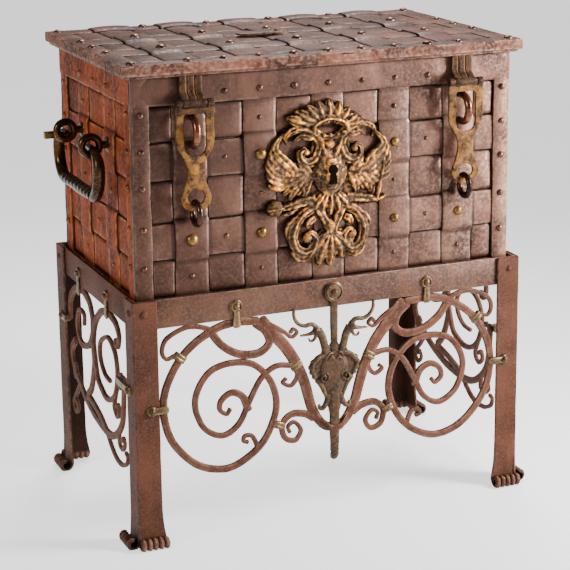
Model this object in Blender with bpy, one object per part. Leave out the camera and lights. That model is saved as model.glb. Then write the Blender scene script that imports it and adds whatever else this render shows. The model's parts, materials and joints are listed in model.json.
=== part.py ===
"""Iron strongbox with strapwork, hasps and a key lock in its lid, on a forged stand with scrollwork.

Metres, +Z up, front towards -Y. The origin lies on the ground under the middle of the four feet.
"""
import math

import bmesh
import bpy
from mathutils import Vector

# Gaps
CLEAR = 0.0003
LAYER_STEP = 0.0001

# Chest
CHEST_W = 0.700
CHEST_D = 0.410
CHEST_H = 0.409
CHEST_BASE_Z = 0.3945
PLATE_T = 0.004
STRAP_T = 0.004
BAND_W = 0.060
FRONT_BAND_PITCH = 0.125
FRONT_BAND_COUNT = 5
SIDE_BAND_PITCH = 0.150
SIDE_BAND_COUNT = 2
CORNER_STRAP_W = 0.031
TOP_BORDER_W = 0.049
BOTTOM_BORDER_W = 0.036
CROSS_BAND_W = 0.062
UPPER_BAND_DROP = 0.1425
LOWER_BAND_DROP = 0.278
JOGGLE = 0.008
STRAP_LAP = 0.010
STUD_R = 0.0098
STUD_H = 0.0065
LEDGE_W = 0.022
LEDGE_T = 0.004

# Stand
NEST_GAP_X = 0.006
NEST_GAP_Y = 0.012
LEG_T = 0.005
LEG_W = 0.043
RAIL_T = 0.004
RAIL_H = 0.050
RAIL_TOP_OVER_BASE = 0.039
RAIL_LEDGE_W = 0.030
FOOT_ROLL_R = 0.012
FOOT_FLARE = 0.005
FOOT_FLARE_Z = 0.075
FOOT_CORNER_FLARE = 0.003
FOOT_FACET_DEG = 20
FOOT_CURL_DEG = 24
FOOT_CURL_STEP = 0.0011
SCROLL_T = 0.007
SCROLL_W = 0.012
SCROLL_TIP_W = 0.005
TENDRIL_W = 0.008
NECK_W = 0.020
CLIP_T = 0.003
CLIP_W = 0.014
RIVET_R = 0.006
RIVET_H = 0.0035
FRONT_SCROLL_HALF_W = 0.322
SIDE_SCROLL_HALF_W = 0.183
RAIL_CLIP_X = 0.180
RAIL_CLIP_HEAD_R = 0.011
LEG_CLIP_DROP = 0.141
LEG_CLIP_LAP = 0.024
RAIL_CLIP_DROP = 0.016
SIDE_CLIP_FRONT_Y = -0.068
SIDE_CLIP_BACK_Y = 0.098
SIDE_LEG_CLIP_DROP = 0.108
SIDE_BACK_LEG_CLIP_DROP = 0.082
SIDE_FRONT_CLIP_REACH = 0.047
SIDE_BACK_CLIP_REACH = 0.012
PENDANT_T = 0.005
ROSETTE_RISE = 0.024
ROSETTE_R = 0.008
ROSETTE_H = 0.005

# Lid
LID_OVERHANG = 0.016
LID_OVERHANG_BACK = 0.029
LID_RIM_H = 0.0134
LID_RIM_W = 0.030
LID_RIM_STEP = 0.005
LID_PLATE_T = 0.0037
LID_BORDER_W = 0.040
LID_CROSS_PITCH = 0.140
HINGE_X = 0.235
HINGE_BACK = 0.012
HINGE_DROP = 0.008
HINGE_R = 0.006
HINGE_PIN_R = 0.003
HINGE_LEAF_W = 0.050
HINGE_LEAF_H = 0.100
HINGE_KNUCKLE_L = 0.018
HINGE_LAP = 0.004
HINGE_WEB_H = 0.006
BORE_CLEAR = 0.0004

# Hasps, their staples and pull rings
HASP_DROP = 0.043
HASP_STANDOFF = 0.024
HASP_T = 0.005
HASP_HALF_W = 0.0335
HASP_SLOT_HALF_W = 0.019
HASP_L = 0.1795
HASP_EYE_DROP = 0.157
HASP_EYE_HALF_W = 0.015
HASP_EYE_HALF_H = 0.013
HASP_KNUCKLE_R = 0.0065
HASP_KNUCKLE_L = 0.012
HASP_STRAP_HALF_W = 0.0205
HASP_STRAP_T = 0.005
STAPLE_BAR_R = 0.006
STAPLE_HALF_H = 0.0235
STAPLE_REACH = 0.043
STAPLE_DROP = 0.048
RING_R = 0.0185
RING_BAR_R = 0.004

# Handles
HANDLE_DROP = 0.133
EYE_R = 0.0155
EYE_BAR_R = 0.0065
EYE_STANDOFF = 0.031
EYE_WASHER_R = 0.0143
BAIL_PIN_R = 0.006
BAIL_ARM_R = 0.010
BAIL_GRIP_R = 0.010
BAIL_DEPTH = 0.082
BAIL_HALF_L = 0.119
BAIL_STUB_L = 0.034
BAIL_STUB_HALF_W = 0.005
BAIL_STUB_HALF_H = 0.006
BAIL_PIN_LAP = 0.006
BAIL_SHOULDER = 0.004
BAIL_RIB_STEP = 0.0015
BAIL_RIB_COUNT = 12

# Lock
KEYHOLE_X = 0.0625
KEYHOLE_Y = 0.020
KEYHOLE_R = 0.006
KEYHOLE_SLOT_W = 0.006
KEYHOLE_SLOT_L = 0.018
HUB_R = 0.012
HUB_CAM_R = 0.022
LOCK_POST_W = 0.012
LOCK_HALF_X = 0.150
LOCK_HALF_Y = 0.090
LOCK_COVER_T = 0.004
BOLT_T = 0.010
BOLT_STEM_HALF_W = 0.010
BOLT_HEAD_L = 0.018
BOLT_REST_GAP = 0.003
BOLT_LEDGE_GAP = 0.002
BOLT_HUB_GAP = 0.004
SIDE_BOLT_HALF_W = 0.080
COVER_T = 0.0035
COVER_TIP_R = 0.016
COVER_PIVOT_R = 0.013

# Escutcheon
ESCUTCHEON_T = 0.008
ESCUTCHEON_DROP = 0.204
SHIELD_HALF_W = 0.030
SHIELD_HALF_H = 0.040
SHIELD_RISE = 0.010
SHIELD_PROUD = 0.006
BLIND_KEYHOLE_DEPTH = 0.004
VOLUTE_BAR_R = 0.006
UPPER_VOLUTE = (0.044, 0.058, 0.020)
LOWER_VOLUTE = (0.046, -0.082, 0.024)
UPPER_VOLUTE_HOLE_R = 0.011
LOWER_VOLUTE_HOLE_R = 0.015
WING_HOLE = (0.072, 0.022, 0.012)

# Worked out from the sizes above
CHEST_TOP_Z = CHEST_BASE_Z + CHEST_H
FRONT_Y = -CHEST_D / 2
SIDE_X = CHEST_W / 2
SHELL_X = SIDE_X - 2 * STRAP_T - CLEAR
SHELL_Y = CHEST_D / 2 - 2 * STRAP_T - CLEAR
STAND_HALF_W = SIDE_X + NEST_GAP_X + RAIL_T + LEG_T
STAND_HALF_D = CHEST_D / 2 + NEST_GAP_Y + RAIL_T + LEG_T
STAND_TOP_Z = CHEST_BASE_Z + RAIL_TOP_OVER_BASE
RAIL_BOTTOM_Z = STAND_TOP_Z - RAIL_H
SCROLL_FACE_Y = -(STAND_HALF_D - LEG_T - CLEAR)
FRONT_STRETCH = (STAND_HALF_W - LEG_W) / FRONT_SCROLL_HALF_W
SIDE_STRETCH = (STAND_HALF_D - LEG_W) / SIDE_SCROLL_HALF_W
LID_BASE_Z = CHEST_TOP_Z + CLEAR
LID_PLATE_Z = LID_BASE_Z + LID_RIM_H + CLEAR
LID_STRAP_Z = LID_PLATE_Z + LID_PLATE_T + CLEAR
LID_HALF_W = SIDE_X + LID_OVERHANG
LID_FRONT_Y = FRONT_Y - LID_OVERHANG
LID_BACK_Y = CHEST_D / 2 + LID_OVERHANG_BACK
HINGE_AXIS = Vector((0.0, CHEST_D / 2 + HINGE_BACK, CHEST_TOP_Z - HINGE_DROP))
HASP_X = 2 * FRONT_BAND_PITCH
HASP_Y = FRONT_Y - HASP_STANDOFF
HASP_PIVOT_Z = CHEST_TOP_Z - HASP_DROP
HASP_LIP_HALF_H = (HASP_L - HASP_EYE_DROP - HASP_EYE_HALF_H) / 2
RING_AXIS_Z = HASP_PIVOT_Z - HASP_L + HASP_LIP_HALF_H
RING_HANG = RING_R - RING_BAR_R - math.hypot(HASP_T / 2, HASP_LIP_HALF_H) - CLEAR
HANDLE_X = SIDE_X + EYE_STANDOFF
HANDLE_Z = CHEST_TOP_Z - HANDLE_DROP
EYE_Y = SIDE_BAND_PITCH / 2
LOCK_TOP_Z = LID_PLATE_Z - CLEAR
FRONT_BOLT_HALF_W = LOCK_HALF_X
ESCUTCHEON_Z = CHEST_TOP_Z - ESCUTCHEON_DROP
BOLT_TOP_Z = CHEST_TOP_Z - LEDGE_T - BOLT_LEDGE_GAP
LEDGE_INNER_X = SHELL_X - PLATE_T - LEDGE_W
LEDGE_INNER_Y = SHELL_Y - PLATE_T - LEDGE_W

# Finishes: base colour, metallic, roughness
FINISHES = {
    "stand_iron": ((0.24, 0.13, 0.10), 0.6, 0.60),
    "shell_iron": ((0.20, 0.12, 0.09), 0.6, 0.65),
    "strap_iron": ((0.28, 0.19, 0.16), 0.7, 0.50),
    "lid_iron": ((0.22, 0.15, 0.13), 0.7, 0.50),
    "gilt": ((0.55, 0.33, 0.12), 0.8, 0.45),
    "dark_steel": ((0.07, 0.055, 0.05), 0.9, 0.30),
    "lock_steel": ((0.30, 0.28, 0.26), 0.9, 0.40),
    "clip_iron": ((0.33, 0.23, 0.14), 0.7, 0.50),
}


def clear_scene():
    """Remove every object, so that the model starts from nothing."""
    for item in list(bpy.data.objects):
        bpy.data.objects.remove(item, do_unlink=True)


# Paths in a plane


def smooth_through(points, steps=4):
    """Run a smooth curve through hand-set points."""
    knots = [Vector(point) for point in points]
    padded = [2 * knots[0] - knots[1], *knots, 2 * knots[-1] - knots[-2]]
    path = [knots[0]]
    for before, start, end, after in zip(padded, padded[1:], padded[2:], padded[3:]):
        for step in range(1, steps + 1):
            t = step / steps
            pull = (end - before) * t + (2 * before - 5 * start + 4 * end - after) * t ** 2
            path.append(start + 0.5 * (pull + (3 * start - before - 3 * end + after) * t ** 3))
    return path


def arc(centre, radius, start_deg, end_deg, steps):
    """Points of a circular arc in a plane."""
    turn = (end_deg - start_deg) / steps
    angles = [math.radians(start_deg + turn * step) for step in range(steps + 1)]
    return [Vector((centre[0] + radius * math.cos(a), centre[1] + radius * math.sin(a))) for a in angles]


def millimetres(points):
    """Read a hand-set outline in millimetres."""
    return [(a / 1000, b / 1000) for a, b in points]


def hung(points, stretch=1.0):
    """Read a hand-set outline in millimetres, stretched across, with heights from the rail's lower edge."""
    return [(stretch * a, RAIL_BOTTOM_Z + b) for a, b in millimetres(points)]


def mirrored(half):
    """Close a half outline, which starts and ends on the middle line, into a whole one."""
    return list(half) + [(-a, b) for a, b in reversed(half) if abs(a) > 1e-9]


# Solids


def finished(bm):
    """Turn a closed shape's faces outwards."""
    bmesh.ops.recalc_face_normals(bm, faces=bm.faces[:])
    return bm


def box(low, high):
    """A block between two corners."""
    bm = bmesh.new()
    bmesh.ops.create_cube(bm, size=1.0)
    low, high = Vector(low), Vector(high)
    for vert in bm.verts:
        vert.co = Vector((low[i] + (vert.co[i] + 0.5) * (high[i] - low[i]) for i in range(3)))
    return finished(bm)


def on_axis(axis, pair, along):
    """Place a plane's pair of coordinates, square to an axis, at a distance along it."""
    a, b = pair
    return {"x": Vector((along, a, b)), "y": Vector((a, along, b)), "z": Vector((a, b, along))}[axis]


def prism(outline, axis, low, high):
    """Extrude a closed outline along an axis."""
    bm = bmesh.new()
    loops = [[bm.verts.new(on_axis(axis, point, along)) for point in outline] for along in (low, high)]
    bm.faces.new(loops[0])
    bm.faces.new(loops[1])
    for i in range(len(outline)):
        j = (i + 1) % len(outline)
        bm.faces.new((loops[0][i], loops[0][j], loops[1][j], loops[1][i]))
    return finished(bm)


def rod(centre, axis, radius, low, high, sides=14):
    """A round bar along an axis."""
    return prism(arc(centre, radius, 0, 360 * (sides - 1) / sides, sides - 1), axis, low, high)


def path_normals(path):
    """Unit normals of a plane path, to its left."""
    normals = []
    for i, _ in enumerate(path):
        tangent = path[min(i + 1, len(path) - 1)] - path[max(i - 1, 0)]
        normals.append(Vector((-tangent[1], tangent[0])).normalized())
    return normals


def skin(bm, rings, closed=False):
    """Bridge equal rings of vertices, and cap the ends unless the row closes on itself."""
    count = len(rings[0])
    pairs = list(zip(rings, rings[1:]))
    if closed:
        pairs.append((rings[-1], rings[0]))
    else:
        bm.faces.new(rings[0])
        bm.faces.new(rings[-1])
    for first, second in pairs:
        for i in range(count):
            j = (i + 1) % count
            bm.faces.new((first[i], first[j], second[j], second[i]))
    return finished(bm)


def bar(path, axis, low, high, start_w, end_w):
    """A flat forged bar that follows a plane path and tapers from one end to the other."""
    bm = bmesh.new()
    rings = []
    for i, (point, normal) in enumerate(zip(path, path_normals(path))):
        half = 0.5 * (start_w + (end_w - start_w) * i / (len(path) - 1))
        corners = ((1, low), (1, high), (-1, high), (-1, low))
        rings.append([bm.verts.new(on_axis(axis, point + side * half * normal, along)) for side, along in corners])
    return skin(bm, rings)


def tube(path, axis, along, radii, sides=10, closed=False):
    """A round bar that follows a plane path, with its own radius at every point."""
    bm = bmesh.new()
    if closed:
        ends = [path[-1], *path, path[0]]
        normals = path_normals(ends)[1:-1]
    else:
        normals = path_normals(path)
    rings = []
    for point, normal, radius in zip(path, normals, radii):
        ring = []
        for side in range(sides):
            angle = 2 * math.pi * side / sides
            spot = point + radius * math.cos(angle) * normal
            ring.append(bm.verts.new(on_axis(axis, spot, along + radius * math.sin(angle))))
        rings.append(ring)
    return skin(bm, rings, closed)


def round_ring(centre, axis, along, radius, bar_r, steps=20, sides=10):
    """A closed ring of round bar."""
    path = arc(centre, radius, 0, 360 * (steps - 1) / steps, steps - 1)
    return tube(path, axis, along, [bar_r] * steps, sides, closed=True)


def dome(spot, outward, radius, height, sink=0.0008, sides=10):
    """A domed rivet head that stands on a face and sinks a little into it."""
    outward = Vector(outward)
    across = outward.orthogonal().normalized()
    beside = outward.cross(across)
    bm = bmesh.new()
    rings = []
    for share, lift in ((1.0, -sink), (1.0, 0.25 * height), (0.72, 0.75 * height), (0.3, height)):
        ring = []
        for side in range(sides):
            angle = 2 * math.pi * side / sides
            offset = share * radius * (math.cos(angle) * across + math.sin(angle) * beside)
            ring.append(bm.verts.new(Vector(spot) + lift * outward + offset))
        rings.append(ring)
    return skin(bm, rings)


def moved(bm, place):
    """Send every vertex of a shape through a placing function."""
    for vert in bm.verts:
        vert.co = place(vert.co)
    return finished(bm)


# Assembly


BODIES = {}


def make_body(name, origin, parent=None):
    """An empty on a body's joint axis, which carries the body's pieces."""
    holder = bpy.data.objects.new(f"{name}_body", None)
    bpy.context.scene.collection.objects.link(holder)
    holder.location = Vector(origin)
    if parent:
        holder.parent = BODIES[parent][0]
        holder.location = Vector(origin) - BODIES[parent][1]
    BODIES[name] = (holder, Vector(origin))


def finish(name, node):
    """A node's own material, in one of the named finishes."""
    colour, metallic, roughness = FINISHES[name]
    material = bpy.data.materials.new(f"{node}_{name}")
    material.use_nodes = True
    shader = material.node_tree.nodes["Principled BSDF"]
    shader.inputs["Base Color"].default_value = (*colour, 1.0)
    shader.inputs["Metallic"].default_value = metallic
    shader.inputs["Roughness"].default_value = roughness
    return material


def scratch_object(bm, collection):
    """A short-lived object for a Boolean."""
    mesh = bpy.data.meshes.new("scratch")
    bm.to_mesh(mesh)
    bm.free()
    item = bpy.data.objects.new("scratch", mesh)
    collection.objects.link(item)
    return item


def combine(base, others, operation):
    """Union or cut shapes from a base shape, and return the result as a new shape."""
    group = bpy.data.collections.new("operands")
    bpy.context.scene.collection.children.link(group)
    holder = scratch_object(base, bpy.context.scene.collection)
    items = [scratch_object(other, group) for other in others]
    modifier = holder.modifiers.new("combine", "BOOLEAN")
    modifier.operation = operation
    modifier.solver = "EXACT"
    modifier.operand_type = "COLLECTION"
    modifier.collection = group
    result = bmesh.new()
    result.from_object(holder, bpy.context.evaluated_depsgraph_get())
    for item in [holder, *items]:
        bpy.data.objects.remove(item, do_unlink=True)
    bpy.data.collections.remove(group)
    bmesh.ops.remove_doubles(result, verts=result.verts[:], dist=0.00001)
    bmesh.ops.dissolve_degenerate(result, edges=result.edges[:], dist=0.00001)
    return result


def add_part(name, body, finish_name, solids, cuts=(), smooth=False):
    """Make a node of united solids, less the cuts, in its finish and on its body."""
    shape = solids[0]
    if len(solids) > 1:
        shape = combine(shape, solids[1:], "UNION")
    if cuts:
        shape = combine(shape, cuts, "DIFFERENCE")
    holder, origin = BODIES[body]
    mesh = bpy.data.meshes.new(name)
    for vert in shape.verts:
        vert.co -= origin
    shape.to_mesh(mesh)
    shape.free()
    if smooth:
        mesh.shade_smooth()
        mesh.set_sharp_from_angle(angle=math.radians(40))
    mesh.materials.append(finish(finish_name, name))
    item = bpy.data.objects.new(name, mesh)
    bpy.context.scene.collection.objects.link(item)
    item.parent = holder
    return item


# Stand


def flange(place, corner_flare):
    """One flange of a leg: a strip that flares at the foot and rolls outwards into a scroll."""
    outer_r = FOOT_ROLL_R + LEG_T / 2
    half_facet = math.radians(FOOT_FACET_DEG / 2)
    centre = (FOOT_ROLL_R - LEG_T / 2, outer_r * math.cos(half_facet))
    heights = (STAND_TOP_Z, FOOT_FLARE_Z, 0.68 * FOOT_FLARE_Z, 0.45 * FOOT_FLARE_Z)
    path = [Vector((-LEG_T / 2, z)) for z in heights]
    radii_deg = [(FOOT_ROLL_R, 180 + FOOT_FACET_DEG * i) for i in range(7)]
    full = radii_deg[-1][1]
    radii_deg += [(FOOT_ROLL_R - FOOT_CURL_STEP * i, full + FOOT_CURL_DEG * i) for i in range(1, 7)]
    path += [arc(centre, radius, degrees, degrees, 1)[0] for radius, degrees in radii_deg]
    bm = bmesh.new()
    rings = []
    for point, normal in zip(path, path_normals(path)):
        flare = min(1.0, max(0.0, (FOOT_FLARE_Z - point[1]) / (FOOT_FLARE_Z - centre[1])))
        corner = CLEAR - (CLEAR + corner_flare) * flare ** 2
        inner = LEG_W + FOOT_FLARE * flare ** 2
        out, back = point + normal * LEG_T / 2, point - normal * LEG_T / 2
        rings.append([bm.verts.new(place(u, e, z)) for (u, z), e in
                      ((out, corner), (out, inner), (back, inner), (back, corner))])
    return skin(bm, rings)


def build_legs():
    """Four angle-iron legs, each of two flanges that end in rolled feet."""
    for end, sy in (("front", -1), ("back", 1)):
        for hand, sx in (("left", -1), ("right", 1)):
            def facing_y(u, e, z, sx=sx, sy=sy):
                return Vector((sx * (STAND_HALF_W - e), sy * (STAND_HALF_D + u), z))

            def facing_x(u, e, z, sx=sx, sy=sy):
                return Vector((sx * (STAND_HALF_W + u), sy * (STAND_HALF_D - e), z))

            add_part(f"leg_{end}_{hand}", "stand", "stand_iron",
                     [flange(facing_y, FOOT_CORNER_FLARE), flange(facing_x, FOOT_CORNER_FLARE / 2)])


def build_rails():
    """Four rails behind the leg flanges, each with the ledge that the chest stands on."""
    x_out, y_out = STAND_HALF_W - LEG_T - CLEAR, STAND_HALF_D - LEG_T - CLEAR
    x_in, y_in = x_out - RAIL_T, y_out - RAIL_T
    shelf = (CHEST_BASE_Z - CLEAR - RAIL_T, CHEST_BASE_Z - CLEAR)
    for end, s in (("front", -1), ("back", 1)):
        ys = sorted((s * y_out, s * y_in))
        shelf_ys = sorted((s * (y_out - RAIL_T / 2), s * (y_in - RAIL_LEDGE_W)))
        add_part(f"rail_{end}", "stand", "stand_iron", [
            box((-x_out, ys[0], RAIL_BOTTOM_Z), (x_out, ys[1], STAND_TOP_Z)),
            box((-x_in, shelf_ys[0], shelf[0]), (x_in, shelf_ys[1], shelf[1]))])
    for hand, s in (("left", -1), ("right", 1)):
        xs = sorted((s * x_out, s * x_in))
        shelf_xs = sorted((s * (x_out - RAIL_T / 2), s * (x_in - RAIL_LEDGE_W)))
        plate_y, shelf_y = y_in - CLEAR, y_in - RAIL_LEDGE_W - CLEAR
        add_part(f"rail_{hand}", "stand", "stand_iron", [
            box((xs[0], -plate_y, RAIL_BOTTOM_Z), (xs[1], plate_y, STAND_TOP_Z)),
            box((shelf_xs[0], -shelf_y, shelf[0]), (shelf_xs[1], shelf_y, shelf[1]))])


def front_scroll_bars():
    """The forged bars of the left half of the front panel: path, width at its start and at its end."""
    main = [(-140, -9), (-185, -7), (-225, -17), (-270, -47), (-301, -91), (-313, -141), (-300, -200), (-257, -250),
            (-205, -267), (-160, -252), (-127, -220), (-108, -170), (-116, -124), (-146, -88), (-185, -78),
            (-225, -86), (-250, -115), (-256, -150), (-240, -188), (-208, -206), (-178, -190), (-158, -152),
            (-135, -113), (-108, -95), (-80, -97)]
    inner_curl = [(-160, -166), (-170, -141), (-190, -131), (-209, -142), (-212, -158), (-200, -168), (-193, -160)]
    low_curl = [(-142, -241), (-148, -225), (-155, -214), (-167, -213), (-170, -222), (-162, -225)]
    corner_loop = [(-222, -16), (-249, -6), (-275, -6), (-304, -20), (-313, -40), (-306, -55), (-290, -51)]
    upper_bow = [(-226, -18), (-206, -44), (-175, -64), (-140, -67), (-120, -52), (-126, -30), (-144, -14)]
    neck = [(-134, -10), (-115, -33), (-81, -75), (-57, -125), (-42, -177), (-27, -206), (-12, -219), (-1, -219)]
    beak = [(-132, -12), (-111, -24), (-94, -34), (-82, -44)]
    beak_curl = [(-83, -45), (-75, -46), (-68, -39), (-75, -32), (-80, -38)]
    volute = [(-38, -199), (-55, -189), (-80, -187), (-97, -203), (-92, -228), (-72, -235), (-62, -218), (-74, -202),
              (-86, -208), (-83, -219)]
    small_curl = [(-68, -100), (-68, -119), (-80, -134), (-95, -127), (-89, -120)]
    bars = [(main, SCROLL_W, TENDRIL_W), (inner_curl, SCROLL_W, SCROLL_TIP_W), (low_curl, TENDRIL_W, SCROLL_TIP_W),
            (corner_loop, TENDRIL_W, SCROLL_TIP_W), (upper_bow, SCROLL_W, SCROLL_W), (neck, NECK_W, SCROLL_W),
            (beak, SCROLL_W, SCROLL_TIP_W), (beak_curl, SCROLL_TIP_W, SCROLL_TIP_W),
            (volute, SCROLL_W, SCROLL_TIP_W), (small_curl, TENDRIL_W, SCROLL_TIP_W)]
    return [(smooth_through(hung(points, FRONT_STRETCH), 3), start_w, end_w) for points, start_w, end_w in bars]


def scroll_solids(bars, axis, face, inward):
    """Lay flat bars behind a face, each a hair deeper than the last, so that no two share a plane."""
    solids = []
    for i, (path, start_w, end_w) in enumerate(bars):
        step = i * LAYER_STEP
        span = sorted((face + inward * step, face + inward * (SCROLL_T - step)))
        solids.append(bar(path, axis, span[0], span[1], start_w, end_w))
    return solids


def collar(centre, slope_deg, axis, face, inward):
    """A band wrapped round two bars where they touch."""
    half_l, half_w = 0.5 * CLIP_W, 0.5 * SCROLL_W + CLIP_T
    turn = math.radians(slope_deg)
    corners = [(half_l, half_w), (-half_l, half_w), (-half_l, -half_w), (half_l, -half_w)]
    outline = [(centre[0] + a * math.cos(turn) - b * math.sin(turn),
                centre[1] + a * math.sin(turn) + b * math.cos(turn)) for a, b in corners]
    low, high = sorted((face + inward * CLIP_T / 3, face + inward * (SCROLL_T + CLIP_T / 2)))
    return prism(outline, axis, low, high)


def build_front_panel():
    """Two mirrored scrolls, the pendant between them, and the clips that hold them."""
    for hand, s in (("left", 1), ("right", -1)):
        solids = scroll_solids(front_scroll_bars(), "y", SCROLL_FACE_Y, 1)
        ties = (((-282, -56), 55), ((-70, -98), -64), ((-105, -202), 70))
        solids += [collar(hung([centre], FRONT_STRETCH)[0], slope, "y", SCROLL_FACE_Y, 1) for centre, slope in ties]
        if s < 0:
            solids = [moved(solid, lambda co: Vector((-co.x, co.y, co.z))) for solid in solids]
        add_part(f"front_scroll_{hand}", "stand", "stand_iron", solids)
    front = SCROLL_FACE_Y - CLEAR
    for hand, s in (("left", -1), ("right", 1)):
        x = s * RAIL_CLIP_X * FRONT_STRETCH
        half = CLIP_W / 2
        head_z = RAIL_BOTTOM_Z + 0.45 * RAIL_H
        strap = box((x - half, front - CLIP_T, RAIL_BOTTOM_Z - RAIL_CLIP_DROP), (x + half, front, head_z + half))
        add_part(f"rail_clip_{hand}", "stand", "clip_iron", [
            strap, rod((x, head_z), "y", RAIL_CLIP_HEAD_R, front - CLIP_T - LAYER_STEP, front - LAYER_STEP),
            dome((x, front - CLIP_T, head_z), (0, -1, 0), RIVET_R, RIVET_H)])
        leg_edge = STAND_HALF_W - LEG_W
        face = -STAND_HALF_D - CLEAR
        clip_z = RAIL_BOTTOM_Z - LEG_CLIP_DROP
        outer, inner = sorted((s * (leg_edge + LEG_CLIP_LAP), s * (leg_edge - SCROLL_W)))
        pad = sorted((s * (leg_edge - CLEAR), s * (leg_edge - SCROLL_W)))
        z_low, z_high = clip_z - half, clip_z + half
        add_part(f"leg_clip_{hand}", "stand", "clip_iron", [
            box((outer, face - CLIP_T, z_low), (inner, face, z_high)),
            box((pad[0], face - CLIP_T / 2, z_low + LAYER_STEP), (pad[1], front, z_high - LAYER_STEP)),
            dome((s * (leg_edge + 0.6 * LEG_CLIP_LAP), face - CLIP_T, clip_z), (0, -1, 0), RIVET_R, RIVET_H)])
    build_pendant(front)


def build_pendant(back):
    """The drop in the middle: a rosette, a stem, two bird heads back to back and a leaf tail."""
    half = [(0, 39), (10, 35), (15, 24), (10, 13), (7, 8), (7, -48), (12, -58), (16, -45), (22, -34), (32, -27),
            (44, -26), (50, -34), (58, -43), (41, -44), (32, -50), (24, -62), (22, -78), (32, -90), (42, -96),
            (40, -104), (43, -112), (38, -122), (27, -130), (18, -148), (13, -164), (19, -176), (25, -184), (14, -186),
            (11, -192), (9, -250), (5, -274), (0, -282)]
    solids = [prism(mirrored(hung(half)), "y", back - PENDANT_T, back)]
    crest = smooth_through(hung([(36, -32), (50, -25), (63, -18), (71, -8), (70, 2)]), 2)
    for s in (-1, 1):
        path = [Vector((s * a, b)) for a, b in crest]
        solids.append(bar(path, "y", back - PENDANT_T + LAYER_STEP, back - LAYER_STEP, TENDRIL_W, SCROLL_TIP_W))
    solids.append(dome((0, back - PENDANT_T, RAIL_BOTTOM_Z + ROSETTE_RISE), (0, -1, 0), ROSETTE_R, ROSETTE_H))
    add_part("front_pendant", "stand", "stand_iron", solids)


def side_scroll_bars():
    """The bars of a side panel, as (y, z) paths with their widths."""
    front_spiral = [(-60, -8), (-22, -19), (9, -41), (26, -68), (31, -96), (13, -149), (-9, -164), (-39, -172),
                    (-69, -165), (-94, -144), (-107, -104), (-91, -69), (-55, -56), (-12, -77), (-8, -108),
                    (-32, -130), (-62, -134)]
    front_arm = [(-60, -8), (-103, -16), (-120, -34), (-114, -56)]
    low_oval = [(-92, -148), (-82, -174), (-97, -188), (-109, -174)]
    back_arch = [(175, -82), (168, -44), (134, -16), (92, -8), (52, -18), (33, -43), (33, -70), (34, -100), (31, -130),
                 (52, -179), (74, -200)]
    back_curl = [(34, -76), (58, -102), (98, -113), (124, -100), (130, -74), (112, -50), (84, -52), (86, -72)]
    hanging_bow = [(146, -118), (172, -144), (158, -176), (118, -199), (79, -217), (32, -230), (-29, -237), (-74, -231),
                   (-111, -207), (-132, -173), (-140, -104)]
    tail = [(78, -204), (47, -208), (8, -218), (-29, -234), (-51, -252), (-80, -268), (-116, -270), (-145, -258)]
    front_low_curl = [(-108, -208), (-104, -234), (-122, -240), (-136, -228)]
    back_low_curl = [(125, -196), (150, -222), (171, -244), (158, -260), (144, -246)]
    bars = [(front_spiral, SCROLL_W, SCROLL_TIP_W), (front_arm, SCROLL_W, SCROLL_TIP_W),
            (low_oval, TENDRIL_W, SCROLL_TIP_W), (back_arch, SCROLL_W, SCROLL_W), (back_curl, SCROLL_W, SCROLL_TIP_W),
            (hanging_bow, SCROLL_W, SCROLL_W), (tail, SCROLL_W, SCROLL_TIP_W),
            (front_low_curl, TENDRIL_W, SCROLL_TIP_W), (back_low_curl, TENDRIL_W, SCROLL_TIP_W)]
    return [(smooth_through(hung(points, SIDE_STRETCH), 3), start_w, end_w) for points, start_w, end_w in bars]


def side_rail_clip(s, y, face):
    """A tongue over the rail's outer face and the step below it that reaches the scroll."""
    outside = face + s * CLEAR
    half = CLIP_W / 2
    step_x = sorted((face - s * SCROLL_T / 3, outside + s * CLIP_T))
    tongue_x = sorted((outside, outside + s * CLIP_T))
    return [box((step_x[0], y - half, RAIL_BOTTOM_Z - RAIL_CLIP_DROP), (step_x[1], y + half, RAIL_BOTTOM_Z - CLEAR)),
            box((tongue_x[0], y - half + LAYER_STEP, RAIL_BOTTOM_Z - RAIL_CLIP_DROP / 2),
                (tongue_x[1], y + half - LAYER_STEP, RAIL_BOTTOM_Z + 0.6 * RAIL_H)),
            dome((outside + s * CLIP_T, y, RAIL_BOTTOM_Z + 0.45 * RAIL_H), (s, 0, 0), RIVET_R, RIVET_H)]


def side_leg_clip(s, end, drop, reach, face):
    """A tongue over a leg's outer face and the pad inside its edge that reaches the scroll."""
    edge = STAND_HALF_D - LEG_W
    outside = s * (STAND_HALF_W + CLEAR)
    half = CLIP_W / 2
    z = RAIL_BOTTOM_Z - drop
    tongue_x = sorted((outside, outside + s * CLIP_T))
    pad_x = sorted((face - s * SCROLL_T / 3, outside + s * CLIP_T / 2))
    tongue_y = sorted((end * (edge + LEG_CLIP_LAP), end * (edge - reach)))
    pad_y = sorted((end * (edge - CLEAR), end * (edge - reach)))
    return [box((tongue_x[0], tongue_y[0], z - half), (tongue_x[1], tongue_y[1], z + half)),
            box((pad_x[0], pad_y[0], z - half + LAYER_STEP), (pad_x[1], pad_y[1], z + half - LAYER_STEP)),
            dome((outside + s * CLIP_T, end * (edge + 0.6 * LEG_CLIP_LAP), z), (s, 0, 0), RIVET_R, RIVET_H)]


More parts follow.
